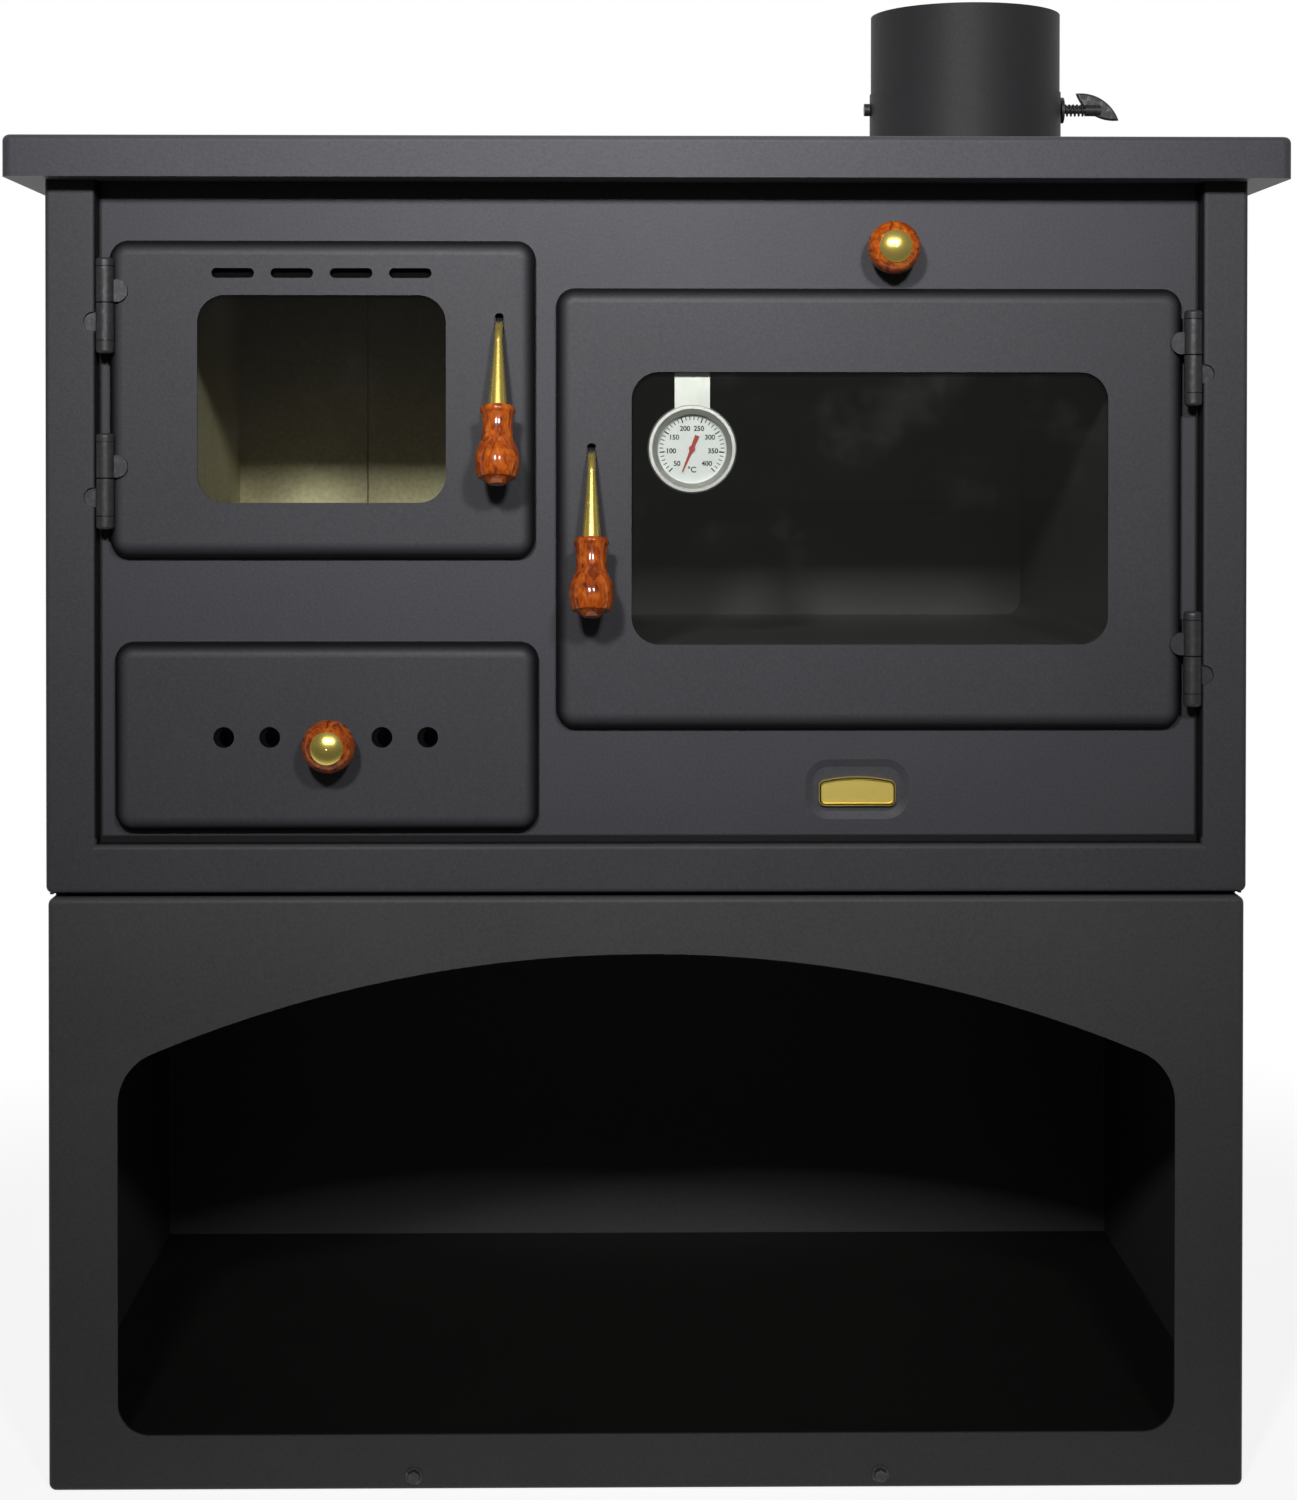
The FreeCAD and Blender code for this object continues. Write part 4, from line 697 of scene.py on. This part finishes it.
class COOKSTOVE_OT_dial(bpy.types.Operator):
    """Print the thermometer's scale on its dial"""
    bl_idname = "cookstove.dial"
    bl_label = "Print the dial"

    def execute(self, context):
        dial = settings().dial
        dress(("thermometer_dial",), printed_face("dial face", dial.face))
        dress(("thermometer_needle",), flat_ink("needle red", dial.needle))
        low, high = (Vector(corner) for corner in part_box("thermometer_dial"))
        centre = Vector(((low.x + high.x) / 2, low.y, (low.z + high.z) / 2))
        radius = (high.x - low.x) / 2
        shape = bmesh.new()
        for heat in range(dial.first, dial.last + 1, dial.tick_step):
            turn = math.radians((heat - dial.top) * dial.spread)
            numbered = heat % dial.step == 0
            self.add_tick(shape, dial, centre, radius * dial.tick_share, turn, numbered)
            if numbered:
                way = Vector((math.sin(turn), 0.0, math.cos(turn)))
                self.add_words(shape, dial, str(heat), centre + way * radius * dial.number_share, 1.0)
        self.add_words(shape, dial, "°C", centre - Vector((0.0, 0.0, radius * dial.number_share)), dial.unit_scale)
        new_piece("dial_print", shape, flat_ink("dial ink", dial.ink), "oven_door")
        return {"FINISHED"}

    @staticmethod
    def add_tick(shape, dial, centre, reach, turn, numbered):
        """A thin bar that ends at the tick ring."""
        length = dial.tick_long if numbered else dial.tick_short
        width = dial.tick_width * (dial.tick_bold if numbered else 1.0)
        size = Matrix.Diagonal((width, dial.ink_height, length, 1.0))
        place = Matrix.Translation(centre) @ Matrix.Rotation(turn, 4, "Y")
        offset = Matrix.Translation((0.0, -dial.ink_height / 2, reach - length / 2))
        bmesh.ops.create_cube(shape, size=1.0, matrix=place @ offset @ size)

    @staticmethod
    def add_words(shape, dial, words, spot, scale):
        """Figures, upright and centred on a spot."""
        curve = bpy.data.curves.new("figures", "FONT")
        curve.body = words
        curve.align_x, curve.align_y = "CENTER", "CENTER"
        curve.size = dial.number_height * scale
        curve.extrude = dial.ink_height / 2
        curve.offset = dial.number_bold
        flat = bpy.data.objects.new("figures", curve)
        mesh = bpy.data.meshes.new_from_object(flat)
        lift = Vector((0.0, -dial.ink_height / 2, 0.0))
        mesh.transform(Matrix.Translation(spot + lift) @ Matrix.Rotation(math.pi / 2, 4, "X"))
        shape.from_mesh(mesh)
        bpy.data.objects.remove(flat)
        bpy.data.curves.remove(curve)
        bpy.data.meshes.remove(mesh)


class COOKSTOVE_OT_rope_seals(bpy.types.Operator):
    """Lay a braided rope seal behind each door"""
    bl_idname = "cookstove.rope_seals"
    bl_label = "Lay the rope seals"

    def execute(self, context):
        material = woven_rope("seal rope", settings().finish.rope)
        for door in ("firebox", "oven"):
            node = door + "_rope"
            piece = new_piece(node + "_braid", self.braid(node), material, door + "_door")
            shade_smooth(piece)
            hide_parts(node)
        return {"FINISHED"}

    @classmethod
    def braid(cls, node):
        """A flattened tube round the mouth, with strands that cross over its skin."""
        rope = settings().rope
        low, high = (Vector(corner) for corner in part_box(node))
        depth = (high.y - low.y) / 2
        half = rope.width / 2
        middle = (low.y + high.y) / 2
        left, right, bottom, top = low.x + half, high.x - half, low.z + half, high.z - half
        shape = bmesh.new()
        start = Matrix.Translation((left + rope.corner, middle, bottom)) @ Matrix.Rotation(math.pi / 2, 4, "Y")
        ring = bmesh.ops.create_circle(shape, radius=1.0, segments=rope.sides,
                                       matrix=start @ Matrix.Diagonal((half, depth, 1.0, 1.0)))
        tip = list({edge for vert in ring["verts"] for edge in vert.link_edges})
        across, up = right - left - 2 * rope.corner, top - bottom - 2 * rope.corner
        runs = ((Vector((across, 0, 0)), (right - rope.corner, bottom + rope.corner)),
                (Vector((0, 0, up)), (right - rope.corner, top - rope.corner)),
                (Vector((-across, 0, 0)), (left + rope.corner, top - rope.corner)),
                (Vector((0, 0, -up)), (left + rope.corner, bottom + rope.corner)))
        for run, (cx, cz) in runs:
            count = max(1, round(run.length / rope.step))
            tip = cls.sweep(shape, tip, (0, 0, 0), run / count, 0.0, count)
            count = max(1, round(rope.corner * math.pi / 2 / rope.step))
            tip = cls.sweep(shape, tip, (cx, middle, cz), (0, 0, 0), math.pi / 2, count)
        bmesh.ops.remove_doubles(shape, verts=shape.verts, dist=rope.step / 10)
        bmesh.ops.recalc_face_normals(shape, faces=shape.faces)
        shape.normal_update()
        wave = 2 * math.pi / rope.strand
        centre = (low + high) / 2
        moves = []
        for vert in shape.verts:
            side, rise = vert.co.x - centre.x, vert.co.z - centre.z
            run = side + math.copysign(1.0, side * rise) * vert.co.z
            around = math.atan2((vert.co.y - middle) / depth, vert.normal.x + vert.normal.z) * rope.strands
            moves.append(rope.relief * math.sin(wave * run + around) * math.sin(wave * run - around) - rope.relief)
        for vert, move in zip(shape.verts, moves):
            vert.co += vert.normal * move
        return shape

    @staticmethod
    def sweep(shape, edges, centre, step, angle, count):
        """Carry a ring of edges along a straight run or round a corner, and return where it ends."""
        swept = bmesh.ops.spin(shape, geom=edges, cent=centre, axis=(0, -1, 0), dvec=step, angle=angle, steps=count,
                               use_duplicate=False)
        return [piece for piece in swept["geom_last"] if isinstance(piece, bmesh.types.BMEdge)]


class COOKSTOVE_OT_base_screws(bpy.types.Operator):
    """Put the hexagon screws in the front of the base"""
    bl_idname = "cookstove.base_screws"
    bl_label = "Put in the base screws"

    def execute(self, context):
        screw = settings().screw
        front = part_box("base_front")[0][1]
        material = darkened_steel("screw steel", settings().finish.screw)
        shape = bmesh.new()
        for side in (-1, 1):
            spot = Vector((side * screw.spacing / 2, front, screw.height))
            place = Matrix.Translation(spot) @ Matrix.Rotation(math.pi / 2, 4, "X")
            self.add_prism(shape, place, screw.washer_sides, screw.washer, 0.0, screw.washer_height, screw.ease)
            self.add_prism(shape, place, screw.head_sides, screw.head, screw.washer_height, screw.head_height,
                           screw.ease)
        new_piece("base_screws", shape, material, "stove")
        return {"FINISHED"}

    @staticmethod
    def add_prism(shape, place, sides, radius, low, height, ease):
        """An upright prism with a rounded top edge."""
        matrix = place @ Matrix.Translation((0.0, 0.0, low + height / 2))
        made = bmesh.ops.create_cone(shape, cap_ends=True, segments=sides, radius1=radius, radius2=radius,
                                     depth=height, matrix=matrix)
        outward = place.to_3x3() @ Vector((0.0, 0.0, 1.0))
        top = max((face for vert in made["verts"] for face in vert.link_faces),
                  key=lambda face: face.calc_center_median().dot(outward))
        bmesh.ops.bevel(shape, geom=list(top.edges), offset=min(ease, height / 3), affect="EDGES", segments=2,
                        profile=0.5, material=-1)


class COOKSTOVE_OT_base_return(bpy.types.Operator):
    """Fold the top edge of the base inwards, under the body"""
    bl_idname = "cookstove.base_return"
    bl_label = "Fold the base's top edge"

    def execute(self, context):
        fold = settings().fold
        low, high = (Vector(corner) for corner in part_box("base_wrap"))
        top = high.z - fold.drop
        inner = high.x - fold.inset
        back = high.y - fold.inset
        shape = bmesh.new()
        for side in (-1, 1):
            ends = sorted((side * inner, side * (inner - fold.width)))
            self.add_strip(shape, (ends[0], low.y, top - fold.sheet), (ends[1], back, top))
        reach = inner - fold.width
        self.add_strip(shape, (-reach, back - fold.width, top - fold.sheet), (reach, back, top))
        new_piece("base_return", shape, nodes["base_wrap"].data.materials[0], "stove")
        return {"FINISHED"}

    @staticmethod
    def add_strip(shape, low, high):
        """A flat bar between two corners."""
        low, high = Vector(low), Vector(high)
        size = Matrix.Diagonal((*(high - low), 1.0))
        bmesh.ops.create_cube(shape, size=1.0, matrix=Matrix.Translation((low + high) / 2) @ size)


class COOKSTOVE_OT_badge_rim(bpy.types.Operator):
    """Raise a plain rim along the edge of the badge plate"""
    bl_idname = "cookstove.badge_rim"
    bl_label = "Raise the badge's rim"

    def execute(self, context):
        badge = settings().badge
        plate = nodes["badge_plate"].data
        shape = bmesh.new()
        shape.from_mesh(plate)
        bmesh.ops.remove_doubles(shape, verts=shape.verts, dist=badge.height / 100)
        front = min(vert.co.y for vert in shape.verts)
        behind = [vert for vert in shape.verts if vert.co.y > front + badge.height / 10]
        bmesh.ops.delete(shape, geom=behind, context="VERTS")
        bmesh.ops.dissolve_faces(shape, faces=shape.faces, use_verts=True)
        ring = bmesh.ops.inset_region(shape, faces=shape.faces[:], thickness=badge.rim, use_even_offset=True,
                                      use_boundary=True)["faces"]
        middle = [face for face in shape.faces if face not in ring]
        bmesh.ops.delete(shape, geom=middle, context="FACES")
        raised = bmesh.ops.extrude_face_region(shape, geom=ring)["geom"]
        tops = [vert for vert in raised if isinstance(vert, bmesh.types.BMVert)]
        bmesh.ops.translate(shape, verts=tops, vec=(0.0, -badge.height, 0.0))
        bmesh.ops.recalc_face_normals(shape, faces=shape.faces)
        new_piece("badge_rim", shape, plate.materials[0], "stove")
        return {"FINISHED"}


class COOKSTOVE_OT_stage(bpy.types.Operator):
    """Set up the pale floor, the soft lamps, the white surround and the camera"""
    bl_idname = "cookstove.stage"
    bl_label = "Set the stage"

    def execute(self, context):
        stage = settings().stage
        context.scene.view_settings.view_transform = "Standard"
        self.make_floor(stage)
        self.make_surround(stage)
        self.make_lamp("left lamp", Vector(stage.key_left), stage.left_power, stage)
        self.make_lamp("right lamp", Vector(stage.key_right), stage.right_power, stage)
        self.make_camera(stage)
        return {"FINISHED"}

    @staticmethod
    def shown(finish, depth, front, back):
        """1 where the camera sees the background, or where metal and glass show it behind the stove."""
        camera, glossy, through = (finish.node("ShaderNodeLightPath", output="Is %s Ray" % kind)
                                   for kind in ("Camera", "Glossy", "Transmission"))
        return camera.larger(glossy.larger(through) * finish.between(depth, front, back))

    @classmethod
    def make_floor(cls, stage):
        shape = bmesh.new()
        bmesh.ops.create_grid(shape, x_segments=8, y_segments=8, size=stage.floor_size / 2)
        mesh = bpy.data.meshes.new("floor")
        shape.to_mesh(mesh)
        shape.free()
        finish = Finish("pale floor")
        spot = finish.position()
        tone = finish.shade(stage.floor, 0.99 + finish.noise(spot, scale=3.0) * 0.02)
        plain = finish.node("ShaderNodeBsdfDiffuse", None, {"Color": tone})
        shown = cls.shown(finish, finish.part(spot, "Y"), *FLOOR_SHOWN)
        away = finish.node("ShaderNodeVectorMath", {"operation": "LENGTH"}, {0: spot}, "Value")
        lift = finish.between(away, stage.shade_start, stage.shade_end) * stage.shade_depth
        strength = shown * (lift + (stage.floor_lift - stage.shade_depth))
        glow = finish.node("ShaderNodeEmission", None, {"Color": opaque(WHITE), "Strength": strength})
        mesh.materials.append(finish.close(finish.node("ShaderNodeAddShader", None, {0: plain, 1: glow})))
        floor = bpy.data.objects.new("floor", mesh)
        bpy.context.scene.collection.objects.link(floor)

    @classmethod
    def make_surround(cls, stage):
        """White where the camera looks and behind the stove, and an even dim light from the front."""
        world = bpy.data.worlds.new("studio")
        bpy.context.scene.world = world
        world.use_nodes = True
        finish = Finish("studio", world.node_tree)
        depth = finish.part(finish.node("ShaderNodeTexCoord", output="Generated"), "Y")
        level = cls.shown(finish, depth, *SURROUND_SHOWN) * (1.0 - stage.ambient) + stage.ambient
        light = finish.node("ShaderNodeBackground", None, {"Color": opaque(WHITE), "Strength": level})
        finish.close(light, "ShaderNodeOutputWorld")

    @staticmethod
    def make_lamp(name, spot, power, stage):
        data = bpy.data.lights.new(name, "AREA")
        data.shape = "SQUARE"
        data.size = stage.key_size
        data.energy = power
        data.spread = stage.key_spread
        lamp = bpy.data.objects.new(name, data)
        lamp.location = spot
        lamp.rotation_euler = (Vector(stage.key_aim) - spot).to_track_quat("-Z", "Y").to_euler()
        bpy.context.scene.collection.objects.link(lamp)

    @staticmethod
    def make_camera(stage):
        data = bpy.data.cameras.new("camera")
        data.sensor_fit = "HORIZONTAL"
        data.lens = stage.focal * data.sensor_width
        data.shift_x, data.shift_y = stage.shift_x, stage.shift_y
        data.clip_end = stage.floor_size
        camera = bpy.data.objects.new("camera", data)
        turn = Matrix.Rotation(-stage.yaw, 4, "Z") @ Matrix.Rotation(math.pi / 2 + stage.pitch, 4, "X")
        camera.matrix_world = Matrix.Translation(stage.camera) @ turn @ Matrix.Rotation(stage.roll, 4, "Z")
        bpy.context.scene.collection.objects.link(camera)
        bpy.context.scene.camera = camera


class COOKSTOVE_PT_panel(bpy.types.Panel):
    """Lists the steps that dress the cookstove"""
    bl_idname = "COOKSTOVE_PT_panel"
    bl_label = "Cookstove"
    bl_space_type = "VIEW_3D"
    bl_region_type = "UI"
    bl_category = "Cookstove"

    def draw(self, context):
        for operator in STEPS:
            self.layout.operator(operator.bl_idname)


STEPS = (COOKSTOVE_OT_paint, COOKSTOVE_OT_metal, COOKSTOVE_OT_lining, COOKSTOVE_OT_wood, COOKSTOVE_OT_dial,
         COOKSTOVE_OT_rope_seals, COOKSTOVE_OT_base_screws, COOKSTOVE_OT_base_return, COOKSTOVE_OT_badge_rim,
         COOKSTOVE_OT_stage)
GROUPS = (FinishSettings, EdgeSettings, DialSettings, RopeSettings, ScrewSettings, FoldSettings, BadgeSettings,
          StageSettings, CookstoveSettings)


def register():
    for cls in GROUPS + STEPS + (COOKSTOVE_PT_panel,):
        bpy.utils.register_class(cls)
    bpy.types.Scene.cookstove = PointerProperty(type=CookstoveSettings)


def unregister():
    del bpy.types.Scene.cookstove
    for cls in reversed(GROUPS + STEPS + (COOKSTOVE_PT_panel,)):
        bpy.utils.unregister_class(cls)


def main():
    register()
    bpy.ops.cookstove.paint()
    bpy.ops.cookstove.metal()
    bpy.ops.cookstove.lining()
    bpy.ops.cookstove.wood()
    bpy.ops.cookstove.dial()
    bpy.ops.cookstove.rope_seals()
    bpy.ops.cookstove.base_screws()
    bpy.ops.cookstove.base_return()
    bpy.ops.cookstove.badge_rim()
    bpy.ops.cookstove.stage()


if __name__ == "__main__":
    main()
